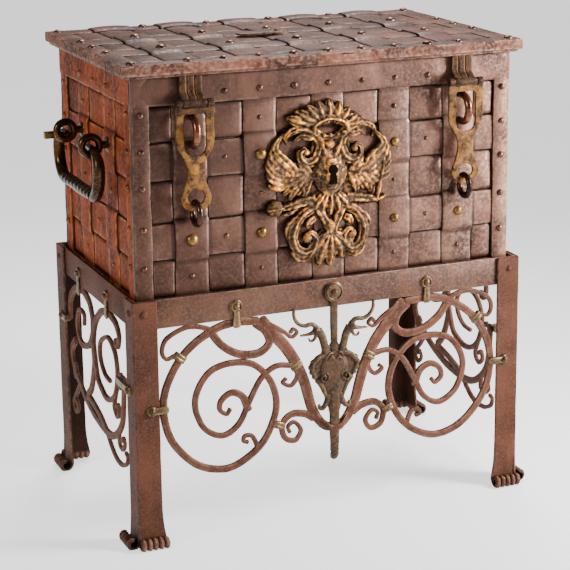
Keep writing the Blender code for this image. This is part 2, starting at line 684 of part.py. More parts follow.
def build_side_panels():
    """A panel of scrolls on each side, with its clips to the rail and to the legs."""
    for hand, s in (("left", -1), ("right", 1)):
        face = s * (STAND_HALF_W - LEG_T - CLEAR)
        solids = scroll_solids(side_scroll_bars(), "x", face, -s)
        for y in (SIDE_CLIP_FRONT_Y, SIDE_CLIP_BACK_Y):
            solids += side_rail_clip(s, y * SIDE_STRETCH, face)
        solids += side_leg_clip(s, -1, SIDE_LEG_CLIP_DROP, SIDE_FRONT_CLIP_REACH * SIDE_STRETCH, face)
        solids += side_leg_clip(s, 1, SIDE_BACK_LEG_CLIP_DROP, SIDE_BACK_CLIP_REACH * SIDE_STRETCH, face)
        add_part(f"side_scroll_{hand}", "stand", "stand_iron", solids)


# Chest


def panel_solids(half_w, low, high, columns, rows, studs):
    """Strapwork of one face in its own frame: across, out from the plate, and up.

    A frame of corner straps and borders is two layers thick. Cross bands are one layer, and the
    upright bands are joggled outwards where they pass over them.
    """
    outer = 2 * STRAP_T
    inner_low, inner_high = low + BOTTOM_BORDER_W, high - TOP_BORDER_W
    solids = [box((-half_w, 0, inner_high), (half_w, outer, high)),
              box((-half_w, 0, low), (half_w, outer, inner_low))]
    for s in (-1, 1):
        across = sorted((s * half_w, s * (half_w - CORNER_STRAP_W)))
        solids.append(box((across[0], 0, inner_low - STRAP_LAP), (across[1], outer, inner_high + STRAP_LAP)))
    for z in rows:
        solids.append(box((LAYER_STEP - half_w, 2 * LAYER_STEP, z - CROSS_BAND_W / 2),
                          (half_w - LAYER_STEP, STRAP_T, z + CROSS_BAND_W / 2)))
    near, far = STRAP_T + LAYER_STEP, outer - LAYER_STEP
    half = CROSS_BAND_W / 2
    profile = [(LAYER_STEP, inner_low - STRAP_LAP), (near, inner_low - STRAP_LAP)]
    for z in sorted(rows):
        profile += [(near, z - half - JOGGLE), (far, z - half), (far, z + half), (near, z + half + JOGGLE)]
    profile += [(near, inner_high + STRAP_LAP), (LAYER_STEP, inner_high + STRAP_LAP)]
    solids += [prism(profile, "x", x - BAND_W / 2, x + BAND_W / 2) for x in columns]
    solids += [dome((x, outer - LAYER_STEP, z), (0, 1, 0), STUD_R, STUD_H) for x, z in studs]
    return solids


def spaced(count, pitch):
    """Places evenly spaced about the middle."""
    return [(i - (count - 1) / 2) * pitch for i in range(count)]


def build_shell():
    """Front, back, side and bottom plates, the strapwork that covers them, and the ledge in the mouth."""
    low, high = CHEST_BASE_Z, CHEST_TOP_Z
    side_y = SHELL_Y - PLATE_T - CLEAR
    floor_x = SHELL_X - PLATE_T - CLEAR
    for end, s in (("front", -1), ("back", 1)):
        ys = sorted((s * SHELL_Y, s * (SHELL_Y - PLATE_T)))
        add_part(f"{end}_plate", "chest", "shell_iron", [box((-SHELL_X, ys[0], low), (SHELL_X, ys[1], high))])
    for hand, s in (("left", -1), ("right", 1)):
        xs = sorted((s * SHELL_X, s * (SHELL_X - PLATE_T)))
        add_part(f"{hand}_plate", "chest", "shell_iron", [box((xs[0], -side_y, low), (xs[1], side_y, high))])
    add_part("bottom_plate", "chest", "shell_iron",
             [box((-floor_x, -side_y, low), (floor_x, side_y, low + PLATE_T))])

    rows = [high - UPPER_BAND_DROP, high - LOWER_BAND_DROP]
    columns = spaced(FRONT_BAND_COUNT, FRONT_BAND_PITCH)
    side_columns = spaced(SIDE_BAND_COUNT, SIDE_BAND_PITCH)
    front_studs = [(x, z) for x in (-FRONT_BAND_PITCH, FRONT_BAND_PITCH) for z in rows]
    front_studs += [(x, rows[1]) for x in (columns[0], columns[-1])]
    face_y = SHELL_Y + CLEAR
    face_x = SHELL_X + CLEAR
    for end, s, studs in (("front", -1, front_studs), ("back", 1, [])):
        solids = panel_solids(SIDE_X, low, high, columns, rows, studs)
        solids = [moved(solid, lambda co, s=s: Vector((co.x, s * (face_y + co.y), co.z))) for solid in solids]
        add_part(f"{end}_strapwork", "chest", "strap_iron", solids)
    for hand, s in (("left", -1), ("right", 1)):
        solids = panel_solids(SHELL_Y, low, high, side_columns, rows, [])
        solids = [moved(solid, lambda co, s=s: Vector((s * (face_x + co.y), co.x, co.z))) for solid in solids]
        add_part(f"{hand}_strapwork", "chest", "strap_iron", solids)

    add_part("mouth_ledge", "chest", "shell_iron",
             [box((-floor_x, -side_y, high - LEDGE_T), (floor_x, side_y, high))],
             [box((-LEDGE_INNER_X, -LEDGE_INNER_Y, low), (LEDGE_INNER_X, LEDGE_INNER_Y, high + LEDGE_T))])


def build_escutcheon():
    """A cast cartouche on the front: crown, wings, shield with a blind keyhole, and lower scrolls."""
    half = [(0, 145), (16, 136), (31, 116), (36, 98), (58, 101), (80, 88), (107, 84), (101, 62), (112, 46), (101, 26),
            (109, 6), (97, -14), (86, -32), (63, -46), (75, -66), (84, -86), (80, -108), (62, -122), (44, -126),
            (28, -136), (12, -146), (0, -140)]
    back = FRONT_Y - CLEAR
    front = back - ESCUTCHEON_T
    outline = [(a, ESCUTCHEON_Z + b) for a, b in mirrored(millimetres(half))]
    middle = ESCUTCHEON_Z + SHIELD_RISE
    turns = [2 * math.pi * i / 14 for i in range(14)]
    shield = [(SHIELD_HALF_W * math.cos(a), middle + SHIELD_HALF_H * math.sin(a)) for a in turns]
    solids = [prism(outline, "y", front, back), prism(shield, "y", front - SHIELD_PROUD, back - LAYER_STEP)]
    keyhole = mirrored(millimetres([(0, 20), (6, 17), (8, 11), (4, 4), (7, -18), (0, -18)]))
    cuts = [prism([(a, middle + b) for a, b in keyhole], "y", front - CHEST_D, front + BLIND_KEYHOLE_DEPTH)]
    holes = ((UPPER_VOLUTE, UPPER_VOLUTE_HOLE_R), (LOWER_VOLUTE, LOWER_VOLUTE_HOLE_R), (WING_HOLE, WING_HOLE[2]))
    for s in (-1, 1):
        for x, z, radius in (UPPER_VOLUTE, LOWER_VOLUTE):
            solids.append(round_ring((s * x, ESCUTCHEON_Z + z), "y", front, radius, VOLUTE_BAR_R, 12, 6))
        for (x, z, _), radius in holes:
            cuts.append(prism(arc((s * x, ESCUTCHEON_Z + z), radius, 0, 315, 7), "y", front - CHEST_D, 0))
    add_part("escutcheon", "chest", "gilt", solids, cuts)


def build_staples():
    """The two staples that stand through the hasps' slots."""
    z = HASP_PIVOT_Z - STAPLE_DROP
    deep = FRONT_Y + STRAP_T - LAYER_STEP - CLEAR
    bend = FRONT_Y - STAPLE_REACH + STAPLE_BAR_R + STAPLE_HALF_H
    path = [Vector((deep, z + STAPLE_HALF_H))]
    path += [Vector((bend, z)) + Vector((-math.sin(a), math.cos(a))) * STAPLE_HALF_H
             for a in (math.pi * i / 10 for i in range(11))]
    path.append(Vector((FRONT_Y - CLEAR, z - STAPLE_HALF_H)))
    for hand, s in (("left", -1), ("right", 1)):
        add_part(f"staple_{hand}", "chest", "dark_steel",
                 [tube(path, "x", s * HASP_X, [STAPLE_BAR_R] * len(path))], smooth=True)


def build_handles():
    """Eye bolts on the sides and the drop handles that hang in them."""
    eye_z = HANDLE_Z + EYE_R - EYE_BAR_R - BAIL_PIN_R - CLEAR
    for hand, s in (("left", -1), ("right", 1)):
        x = s * HANDLE_X
        for end, sy in (("front", -1), ("back", 1)):
            foot, seat = s * (SIDE_X + CLEAR), s * (HANDLE_X - EYE_R)
            shank = sorted((foot, seat))
            washer = sorted((foot, foot + s * CLIP_T))
            add_part(f"handle_eye_{hand}_{end}", "chest", "dark_steel", [
                round_ring((x, eye_z), "y", sy * EYE_Y, EYE_R, EYE_BAR_R, 18, 8),
                rod((sy * EYE_Y, eye_z), "x", EYE_BAR_R - LAYER_STEP, shank[0], shank[1], 10),
                rod((sy * EYE_Y, eye_z), "x", EYE_WASHER_R, washer[0], washer[1], 12)], smooth=True)
        path, radii = bail_path()
        stub_y = EYE_Y + EYE_BAR_R + BAIL_SHOULDER + BAIL_STUB_HALF_W
        stub_x = sorted((x, x + s * BAIL_STUB_L))
        stub = box((stub_x[0], stub_y - BAIL_STUB_HALF_W, HANDLE_Z - 2 * BAIL_STUB_HALF_H),
                   (stub_x[1], stub_y + BAIL_STUB_HALF_W, HANDLE_Z))
        add_part(f"handle_{hand}", f"handle_{hand}", "dark_steel",
                 [tube([Vector((a, HANDLE_Z + b)) for a, b in path], "x", x, radii), stub], smooth=True)


def bail_path():
    """A drop handle's line and its thickness: slim pins, full arms and a ribbed grip."""
    wide, deep = BAIL_HALF_L, BAIL_DEPTH
    pin_end = EYE_Y + EYE_BAR_R + BAIL_SHOULDER
    bow = wide - pin_end
    pin = [Vector((EYE_Y - EYE_BAR_R - BAIL_PIN_LAP, 0)), Vector((pin_end, 0))]
    arm = smooth_through([(pin_end, 0), (wide - 0.2 * bow, -0.16 * deep), (wide, -0.40 * deep),
                          (wide - 0.18 * bow, -0.75 * deep), (wide - 0.72 * bow, -0.98 * deep),
                          (wide - 1.2 * bow, -deep)], 3)[1:]
    grip_half = wide - 1.38 * bow
    places = [1 - 2 * i / (BAIL_RIB_COUNT - 1) for i in range(BAIL_RIB_COUNT)]
    grip = [Vector((grip_half * place, -deep)) for place in places]
    side = pin + arm
    swell = [BAIL_PIN_R] * len(pin)
    swell += [min(BAIL_ARM_R, BAIL_PIN_R + BAIL_RIB_STEP * (i + 1)) for i in range(len(arm))]
    ribbed = [BAIL_GRIP_R - BAIL_RIB_STEP * (i % 2) for i in range(BAIL_RIB_COUNT)]
    return side + grip + [Vector((-a, b)) for a, b in reversed(side)], swell + ribbed + swell[::-1]


# Lid


def build_lid():
    """Stepped rim, top plate and strapwork of the lid, with the lock and its keyhole."""
    through = (LID_PLATE_Z - LID_PLATE_T, LID_STRAP_Z + LID_PLATE_T)
    keyhole = rod((KEYHOLE_X, KEYHOLE_Y), "z", KEYHOLE_R, through[0], through[1])
    slot = box((KEYHOLE_X - KEYHOLE_SLOT_W / 2, KEYHOLE_Y - KEYHOLE_SLOT_L, through[0]),
               (KEYHOLE_X + KEYHOLE_SLOT_W / 2, KEYHOLE_Y, through[1]))
    rim_in = LID_RIM_W - LID_OVERHANG
    step_z = LID_BASE_Z + 0.4 * LID_RIM_H
    low = (LID_RIM_STEP - LID_HALF_W, LID_FRONT_Y + LID_RIM_STEP, LID_BASE_Z)
    high = (LID_HALF_W - LID_RIM_STEP, LID_BACK_Y - LID_RIM_STEP, step_z + LAYER_STEP)
    add_part("lid_rim", "lid", "lid_iron", [
        box((-LID_HALF_W, LID_FRONT_Y, step_z), (LID_HALF_W, LID_BACK_Y, LID_BASE_Z + LID_RIM_H)), box(low, high)],
        [box((rim_in - SIDE_X, FRONT_Y + rim_in, LID_BASE_Z - LID_RIM_H),
             (SIDE_X - rim_in, CHEST_D / 2 - rim_in, LID_STRAP_Z))])
    add_part("lid_plate", "lid", "lid_iron",
             [box((-LID_HALF_W, LID_FRONT_Y, LID_PLATE_Z), (LID_HALF_W, LID_BACK_Y, LID_PLATE_Z + LID_PLATE_T))],
             [keyhole, slot])
    add_part("lid_strapwork", "lid", "lid_iron", lid_strap_solids())


def lid_strap_solids():
    """Border straps, cross bands along the lid, and bands from front to back that rise over them."""
    base, one, two = LID_STRAP_Z, LID_STRAP_Z + STRAP_T, LID_STRAP_Z + 2 * STRAP_T
    inner_front, inner_back = LID_FRONT_Y + LID_BORDER_W, LID_BACK_Y - LID_BORDER_W
    solids = [box((-LID_HALF_W, LID_FRONT_Y, base), (LID_HALF_W, inner_front, one)),
              box((-LID_HALF_W, inner_back, base), (LID_HALF_W, LID_BACK_Y, one))]
    for s in (-1, 1):
        across = sorted((s * LID_HALF_W, s * (LID_HALF_W - LID_BORDER_W)))
        solids.append(box((across[0], inner_front - STRAP_LAP, base), (across[1], inner_back + STRAP_LAP, one)))
    rows = spaced(2, LID_CROSS_PITCH)
    for y in rows:
        solids.append(box((LAYER_STEP - LID_HALF_W, y - CROSS_BAND_W / 2, base + 2 * LAYER_STEP),
                          (LID_HALF_W - LAYER_STEP, y + CROSS_BAND_W / 2, one - LAYER_STEP)))
    near, far = one - 2 * LAYER_STEP, two
    half = CROSS_BAND_W / 2
    profile = [(inner_front - STRAP_LAP, base + LAYER_STEP), (inner_front - STRAP_LAP, near)]
    for y in rows:
        profile += [(y - half - JOGGLE, near), (y - half, far), (y + half, far), (y + half + JOGGLE, near)]
    profile += [(inner_back + STRAP_LAP, near), (inner_back + STRAP_LAP, base + LAYER_STEP)]
    solids += [prism(profile, "x", x - BAND_W / 2, x + BAND_W / 2)
               for x in spaced(FRONT_BAND_COUNT, FRONT_BAND_PITCH)]
    return solids


def build_hinges():
    """Two butt hinges at the back: chest leaves with their pins, and lid leaves that turn on them."""
    y, z = HINGE_AXIS.y, HINGE_AXIS.z
    back = CHEST_D / 2 + CLEAR
    mid = HINGE_KNUCKLE_L / 2
    for hand, s in (("left", -1), ("right", 1)):
        x = s * HINGE_X
        half = HINGE_LEAF_W / 2
        knuckles = [rod((y, z), "x", HINGE_R, x - half, x - mid), rod((y, z), "x", HINGE_R, x + mid, x + half)]
        web = [(back, z - 2 * HINGE_WEB_H), (y - LAYER_STEP, z - HINGE_WEB_H), (y - LAYER_STEP, z + HINGE_PIN_R),
               (back, z - HINGE_WEB_H)]
        webs = [prism(web, "x", a, b) for a, b in ((x - half, x - mid), (x + mid, x + half))]
        pin = rod((y, z), "x", HINGE_PIN_R, x - mid - HINGE_LAP, x + mid + HINGE_LAP, 12)
        add_part(f"hinge_chest_leaf_{hand}", "chest", "strap_iron", [
            box((x - half, back, z - HINGE_LEAF_H), (x + half, back + STRAP_T, z - HINGE_WEB_H)),
            *webs, *knuckles, pin], smooth=True)
        top = LID_BASE_Z - CLEAR
        leaf = mid - CLEAR
        add_part(f"hinge_lid_leaf_{hand}", "lid", "lid_iron", [
            rod((y, z), "x", HINGE_R, x - leaf, x + leaf),
            box((x - leaf + LAYER_STEP, y - HINGE_R, z + 0.75 * HINGE_R),
                (x + leaf - LAYER_STEP, LID_BACK_Y - LID_RIM_STEP, top))],
            [rod((y, z), "x", HINGE_PIN_R + BORE_CLEAR, x - half, x + half, 12)], smooth=True)


def build_hasps():
    """Straps under the lid's rim, the hasps that swing on them, and the pull rings in the hasps' eyes."""
    y, z = HASP_Y, HASP_PIVOT_Z
    top = LID_BASE_Z - CLEAR
    rim = LID_FRONT_Y + LID_RIM_STEP
    strap = [(rim + HASP_STRAP_T, top), (rim, top), (rim, z + 0.0155), (y + 0.0025, z + 0.006), (y, z),
             (y + 0.006, z - 0.002), (rim + HASP_STRAP_T, z + 0.0105)]
    top_drop = HASP_KNUCKLE_R + 0.001
    waist = millimetres([(31, 74), (22, 89), (15.5, 104), (15, 119), (19, 136), (26, 154), (26, 164), (20.5, 173)])
    half_outline = [(0, top_drop), (HASP_HALF_W, top_drop), (HASP_HALF_W, 0.062), *waist,
                    (0.0105, HASP_L - 0.001), (0, HASP_L)]
    half_slot = [(0, 0.017), (HASP_SLOT_HALF_W, 0.017), (HASP_SLOT_HALF_W, 0.074), (0.0145, 0.084), (0.006, 0.088),
                 (0, 0.088)]
    outline = mirrored([(a, z - b) for a, b in half_outline])
    slot = mirrored([(a, z - b) for a, b in half_slot])
    turns = [2 * math.pi * i / 16 for i in range(16)]
    eye = [(HASP_EYE_HALF_W * math.cos(a), z - HASP_EYE_DROP + HASP_EYE_HALF_H * math.sin(a)) for a in turns]
    low, high = y - HASP_T / 2, y + HASP_T / 2
    mid = HASP_HALF_W - HASP_KNUCKLE_L
    for hand, s in (("left", -1), ("right", 1)):
        x0 = s * HASP_X
        strap_half = min(HASP_STRAP_HALF_W, mid - CLEAR)
        add_part(f"hasp_strap_{hand}", "lid", "gilt", [
            prism(strap, "x", x0 - strap_half, x0 + strap_half),
            rod((y, z), "x", HASP_KNUCKLE_R, x0 - mid + CLEAR, x0 + mid - CLEAR),
            rod((y, z), "x", HINGE_PIN_R, x0 - HASP_HALF_W, x0 + HASP_HALF_W, 12)], smooth=True)
        solids = [prism([(x0 + a, b) for a, b in outline], "y", low, high)]
        for side in (-1, 1):
            ends = sorted((x0 + side * mid, x0 + side * HASP_HALF_W))
            solids.append(rod((y, z), "x", HASP_KNUCKLE_R, ends[0], ends[1] - LAYER_STEP))
            solids.append(box((ends[0] + LAYER_STEP, low + LAYER_STEP, z - 0.012),
                              (ends[1] - 2 * LAYER_STEP, high - LAYER_STEP, z - 0.003)))
        cuts = [prism([(x0 + a, b) for a, b in shape], "y", low - HASP_T, high + HASP_T) for shape in (slot, eye)]
        cuts.append(rod((y, z), "x", HINGE_PIN_R + BORE_CLEAR, x0 - 2 * HASP_HALF_W, x0 + 2 * HASP_HALF_W, 12))
        add_part(f"hasp_{hand}", f"hasp_{hand}", "gilt", solids, cuts, smooth=True)
        add_part(f"pull_ring_{hand}", f"ring_{hand}", "dark_steel",
                 [round_ring((y, RING_AXIS_Z - RING_HANG), "x", x0, RING_R, RING_BAR_R, 20, 10)], smooth=True)


def build_lock():
    """The lock on the underside of the lid: case, cover, key hub and four bolts."""
    case_low = BOLT_TOP_Z + CLEAR
    bolt_low = BOLT_TOP_Z - BOLT_T
    cover_top = bolt_low - CLEAR
    key = (KEYHOLE_X, KEYHOLE_Y)
    add_part("lock_case", "lid", "lock_steel",
             [box((-LOCK_HALF_X, -LOCK_HALF_Y, case_low), (LOCK_HALF_X, LOCK_HALF_Y, LOCK_TOP_Z))],
             [rod(key, "z", HUB_R + BORE_CLEAR, cover_top, LOCK_TOP_Z + BOLT_T, 20)])
    edge_x, edge_y = LOCK_HALF_X - LAYER_STEP, LOCK_HALF_Y - LAYER_STEP
    cover = [box((-edge_x, -edge_y, cover_top - LOCK_COVER_T), (edge_x, edge_y, cover_top))]
    for sx in (-1, 1):
        for sy in (-1, 1):
            xs = sorted((sx * LOCK_HALF_X, sx * (LOCK_HALF_X - LOCK_POST_W)))
            ys = sorted((sy * LOCK_HALF_Y, sy * (LOCK_HALF_Y - LOCK_POST_W)))
            cover.append(box((xs[0], ys[0], cover_top - LOCK_COVER_T / 2), (xs[1], ys[1], case_low - CLEAR)))
    add_part("lock_cover", "lid", "lock_steel", cover)
    cam = (HUB_CAM_R, HUB_R / 2)
    add_part("key_hub", "key_hub", "lock_steel", [
        rod(key, "z", HUB_R, bolt_low, LOCK_TOP_Z, 16),
        box((key[0] - cam[0], key[1] - cam[1], bolt_low + LAYER_STEP),
            (key[0] + cam[0], key[1] + cam[1], BOLT_TOP_Z - LAYER_STEP))],
        [box((key[0] - KEYHOLE_SLOT_W / 2, key[1] - 0.7 * HUB_R, LOCK_TOP_Z - BOLT_T),
             (key[0] + KEYHOLE_SLOT_W / 2, key[1] + 0.7 * HUB_R, LOCK_TOP_Z + BOLT_T))])
    build_bolts(bolt_low)
    build_keyhole_cover()


def build_bolts(bolt_low):
    """Four flat bolts with broad heads, which run out from the key hub to under the mouth ledge."""
    start = HUB_CAM_R + BOLT_HUB_GAP
    reach_x, reach_y = LEDGE_INNER_X - BOLT_REST_GAP, LEDGE_INNER_Y - BOLT_REST_GAP
    half = BOLT_STEM_HALF_W
    head_z = (bolt_low + LAYER_STEP, BOLT_TOP_Z - LAYER_STEP)
    for name, s in (("left", -1), ("right", 1)):
        stem = sorted((KEYHOLE_X + s * start, s * (reach_x - BOLT_HEAD_L / 2)))
        head = sorted((s * (reach_x - BOLT_HEAD_L), s * reach_x))
        add_part(f"bolt_{name}", f"bolt_{name}", "lock_steel", [
            box((stem[0], KEYHOLE_Y - half, bolt_low), (stem[1], KEYHOLE_Y + half, BOLT_TOP_Z)),
            box((head[0], -SIDE_BOLT_HALF_W, head_z[0]), (head[1], SIDE_BOLT_HALF_W, head_z[1]))])
    for name, s in (("front", -1), ("back", 1)):
        stem = sorted((KEYHOLE_Y + s * start, s * (reach_y - BOLT_HEAD_L / 2)))
        head = sorted((s * (reach_y - BOLT_HEAD_L), s * reach_y))
        add_part(f"bolt_{name}", f"bolt_{name}", "lock_steel", [
            box((KEYHOLE_X - half, stem[0], bolt_low), (KEYHOLE_X + half, stem[1], BOLT_TOP_Z)),
            box((-FRONT_BOLT_HALF_W, head[0], head_z[0]), (FRONT_BOLT_HALF_W, head[1], head_z[1]))])


def build_keyhole_cover():
    """A plate that pivots on the lid's middle band, turned away from the keyhole at rest."""
    seat = LID_STRAP_Z + STRAP_T
    plate_low = LID_STRAP_Z + 2 * STRAP_T + CLEAR
    plate = arc((0, KEYHOLE_Y), COVER_PIVOT_R, -90, 90, 8)
    plate += arc((-KEYHOLE_X, KEYHOLE_Y), COVER_TIP_R, 90, 270, 10)
    add_part("keyhole_cover", "keyhole_cover", "lid_iron", [
        prism(plate, "z", plate_low, plate_low + COVER_T),
        rod((0, KEYHOLE_Y), "z", COVER_PIVOT_R - COVER_T, seat, plate_low + LAYER_STEP),
        dome((0, KEYHOLE_Y, plate_low + COVER_T), (0, 0, 1), RIVET_R, RIVET_H)], smooth=True)


def build_bodies():
    """The moving bodies, each with its origin on its joint's axis."""
    make_body("stand", (0, 0, 0))
    make_body("chest", (0, 0, CHEST_BASE_Z), "stand")
    make_body("lid", HINGE_AXIS, "chest")
    for hand, s in (("left", -1), ("right", 1)):
        make_body(f"hasp_{hand}", (s * HASP_X, HASP_Y, HASP_PIVOT_Z), "lid")
        make_body(f"ring_{hand}", (s * HASP_X, HASP_Y, RING_AXIS_Z), f"hasp_{hand}")
        make_body(f"handle_{hand}", (s * HANDLE_X, 0, HANDLE_Z), "chest")
    make_body("key_hub", (KEYHOLE_X, KEYHOLE_Y, LOCK_TOP_Z), "lid")
    make_body("keyhole_cover", (0, KEYHOLE_Y, LID_STRAP_Z), "lid")
    for name in ("left", "right", "front", "back"):
        make_body(f"bolt_{name}", (KEYHOLE_X, KEYHOLE_Y, BOLT_TOP_Z), "lid")


def main():
    """Build the whole object."""
    clear_scene()
    build_bodies()
    build_legs()
    build_rails()
    build_front_panel()
    build_side_panels()
    build_shell()
    build_escutcheon()
    build_staples()
    build_handles()
    build_lid()
    build_hinges()
    build_hasps()
    build_lock()


main()
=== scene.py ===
"""Looks of the iron war chest on its stand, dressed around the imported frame."""
import json
import logging
import math
from dataclasses import dataclass, field
from enum import Enum
from typing import Callable, Iterator, Optional, Sequence, Union

import bmesh
import bpy
import numpy as np
from mathutils import Matrix, Vector, noise


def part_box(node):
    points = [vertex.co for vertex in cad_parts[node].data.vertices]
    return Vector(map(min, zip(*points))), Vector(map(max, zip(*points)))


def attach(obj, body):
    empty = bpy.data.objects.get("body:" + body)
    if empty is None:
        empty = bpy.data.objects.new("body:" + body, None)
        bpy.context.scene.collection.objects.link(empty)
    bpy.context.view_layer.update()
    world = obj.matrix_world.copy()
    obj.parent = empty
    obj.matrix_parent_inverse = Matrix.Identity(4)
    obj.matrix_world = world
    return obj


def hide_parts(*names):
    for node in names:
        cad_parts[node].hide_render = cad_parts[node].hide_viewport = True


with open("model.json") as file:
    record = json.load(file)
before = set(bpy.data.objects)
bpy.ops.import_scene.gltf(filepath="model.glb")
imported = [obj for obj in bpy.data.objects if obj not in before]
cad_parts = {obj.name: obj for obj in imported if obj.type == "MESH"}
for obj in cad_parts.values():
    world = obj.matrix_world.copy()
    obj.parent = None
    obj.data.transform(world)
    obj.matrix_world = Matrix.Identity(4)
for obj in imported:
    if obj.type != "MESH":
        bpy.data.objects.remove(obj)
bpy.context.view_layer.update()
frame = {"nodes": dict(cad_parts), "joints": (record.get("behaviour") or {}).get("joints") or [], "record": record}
LOG = logging.getLogger("war_chest")
FORGE_SEED = 11
MM = 0.001

Pair = tuple[float, float]
Colour = tuple[float, float, float]
Place = Callable[[float, float, float], Vector]
Spot = tuple[Vector, Vector]
Socket = bpy.types.NodeSocket
Feed = Union[Socket, float, Colour]


class Side(Enum):
    """The four upright faces of the chest."""

    FRONT = "front"
    BACK = "back"
    LEFT = "left"
    RIGHT = "right"


class Hand(Enum):
    """Left and right of someone who faces the front, with the sign of X."""

    LEFT = ("left", -1)
    RIGHT = ("right", 1)

    @property
    def word(self) -> str:
        """The word used in node names."""
        return self.value[0]

    @property
    def sign(self) -> int:
        """The side of the middle plane."""
        return self.value[1]


# Sizes that the solids share

CLEAR = 0.0003
STRAP_T = 0.004
BAND_W = 0.060
CROSS_BAND_W = 0.062
FRONT_BAND_PITCH = 0.125
SIDE_BAND_PITCH = 0.150
JOGGLE = 0.008
LEG_T = 0.005
LEG_W = 0.043
RAIL_H = 0.050
SCROLL_T = 0.007
SCROLL_W = 0.012
SCROLL_TIP_W = 0.005
TENDRIL_W = 0.008
NECK_W = 0.020
CLIP_W = 0.014
CLIP_T = 0.003

# Sizes that the frame gives

BACK_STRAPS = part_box("back_strapwork")
CHEST_HALF_W = BACK_STRAPS[1].x
CHEST_HALF_D = BACK_STRAPS[1].y
CHEST_BASE_Z = BACK_STRAPS[0].z
CHEST_TOP_Z = BACK_STRAPS[1].z
FRONT_RAIL_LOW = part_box("rail_front")[0]
RAIL_BOTTOM_Z = FRONT_RAIL_LOW.z
RAIL_CLIP_Z = RAIL_BOTTOM_Z + 0.45 * RAIL_H
STAND_HALF_W = LEG_T + CLEAR - FRONT_RAIL_LOW.x
STAND_HALF_D = LEG_T + CLEAR - FRONT_RAIL_LOW.y
STAND_TOP_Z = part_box("leg_front_left")[1].z
JOINTS = {joint["name"]: joint for joint in frame["joints"]}


# Shader effects that several finishes share

FLOAT, COLOUR, VECTOR = "NodeSocketFloat", "NodeSocketColor", "NodeSocketVector"


def srgb(red: int, green: int, blue: int) -> Colour:
    """Turn a colour as seen on a screen, 0 to 255, into scene values."""
    shares = (value / 255 for value in (red, green, blue))
    return tuple(share / 12.92 if share <= 0.04045 else ((share + 0.055) / 1.055) ** 2.4 for share in shares)


class Nodes:
    """Adds nodes to a tree and links them in one call."""

    def __init__(self, tree: bpy.types.NodeTree) -> None:
        """Work on one tree."""
        self.tree = tree

    def feed(self, node: bpy.types.Node, links: dict) -> None:
        """Set a node's inputs.

        Args:
            node: The node.
            links: Input name or index to a value, or to the output socket that feeds it.
        """
        for key, value in links.items():
            socket = node.inputs[key]
            if isinstance(value, Socket):
                self.tree.links.new(value, socket)
            else:
                socket.default_value = (*value, 1.0) if socket.type == "RGBA" else value

    def add(self, kind: str, links: Optional[dict] = None, **settings: object) -> bpy.types.Node:
        """Add a node.

        Args:
            kind: The node's type.
            links: Input name or index to a value, or to the output socket that feeds it.
            settings: Properties of the node.

        Returns:
            The new node.
        """
        node = self.tree.nodes.new(kind)
        for name, value in settings.items():
            setattr(node, name, value)
        self.feed(node, links or {})
        return node

    def math(self, operation: str, *values: Feed) -> Socket:
        """A sum of values or sockets, held between 0 and 1."""
        node = self.add("ShaderNodeMath", dict(enumerate(values)), operation=operation, use_clamp=True)
        return node.outputs[0]

    def times(self, first: Feed, second: Feed) -> Socket:
        """The product of two values or sockets, held between 0 and 1."""
        return self.math("MULTIPLY", first, second)

    def band(self, value: Socket, low: float, high: float) -> Socket:
        """Rise smoothly from 0 to 1 between two values."""
        links = {"Value": value, "From Min": low, "From Max": high}
        return self.add("ShaderNodeMapRange", links, interpolation_type="SMOOTHSTEP").outputs["Result"]

    def mix(self, share: Feed, first: Feed, second: Feed) -> Socket:
        """Blend two colours or colour sockets."""
        return self.add("ShaderNodeMix", {0: share, 6: first, 7: second}, data_type="RGBA").outputs[2]

    def noise(self, vector: Socket, scale: Feed, detail: float, rough: float, warp: float = 0.0) -> Socket:
        """A cloud pattern."""
        links = {"Vector": vector, "Scale": scale, "Detail": detail, "Roughness": rough, "Distortion": warp}
        return self.add("ShaderNodeTexNoise", links).outputs["Fac"]


def effect_group(name: str, colours: Sequence[str], floats: Sequence[str],
                 masks: Sequence[str] = ()) -> tuple[Nodes, dict[str, Socket]]:
    """Start a shader node group that reads a place and puts out a colour.

    Args:
        name: The group's name.
        colours: Names of its colour inputs.
        floats: Names of its number inputs.
        masks: Names of the values that it puts out beside the colour.

    Returns:
        The node adder, and the input sockets by name.
    """
    tree = bpy.data.node_groups.new(name, "ShaderNodeTree")
    inputs = {"Vector": VECTOR, **dict.fromkeys(colours, COLOUR), **dict.fromkeys(floats, FLOAT)}
    outputs = {"Colour": COLOUR, **dict.fromkeys(masks, FLOAT)}
    for way, sockets in (("INPUT", inputs), ("OUTPUT", outputs)):
        for label, kind in sockets.items():
            tree.interface.new_socket(label, in_out=way, socket_type=kind)
    nodes = Nodes(tree)
    entry = nodes.add("NodeGroupInput")
    return nodes, {label: entry.outputs[label] for label in inputs}


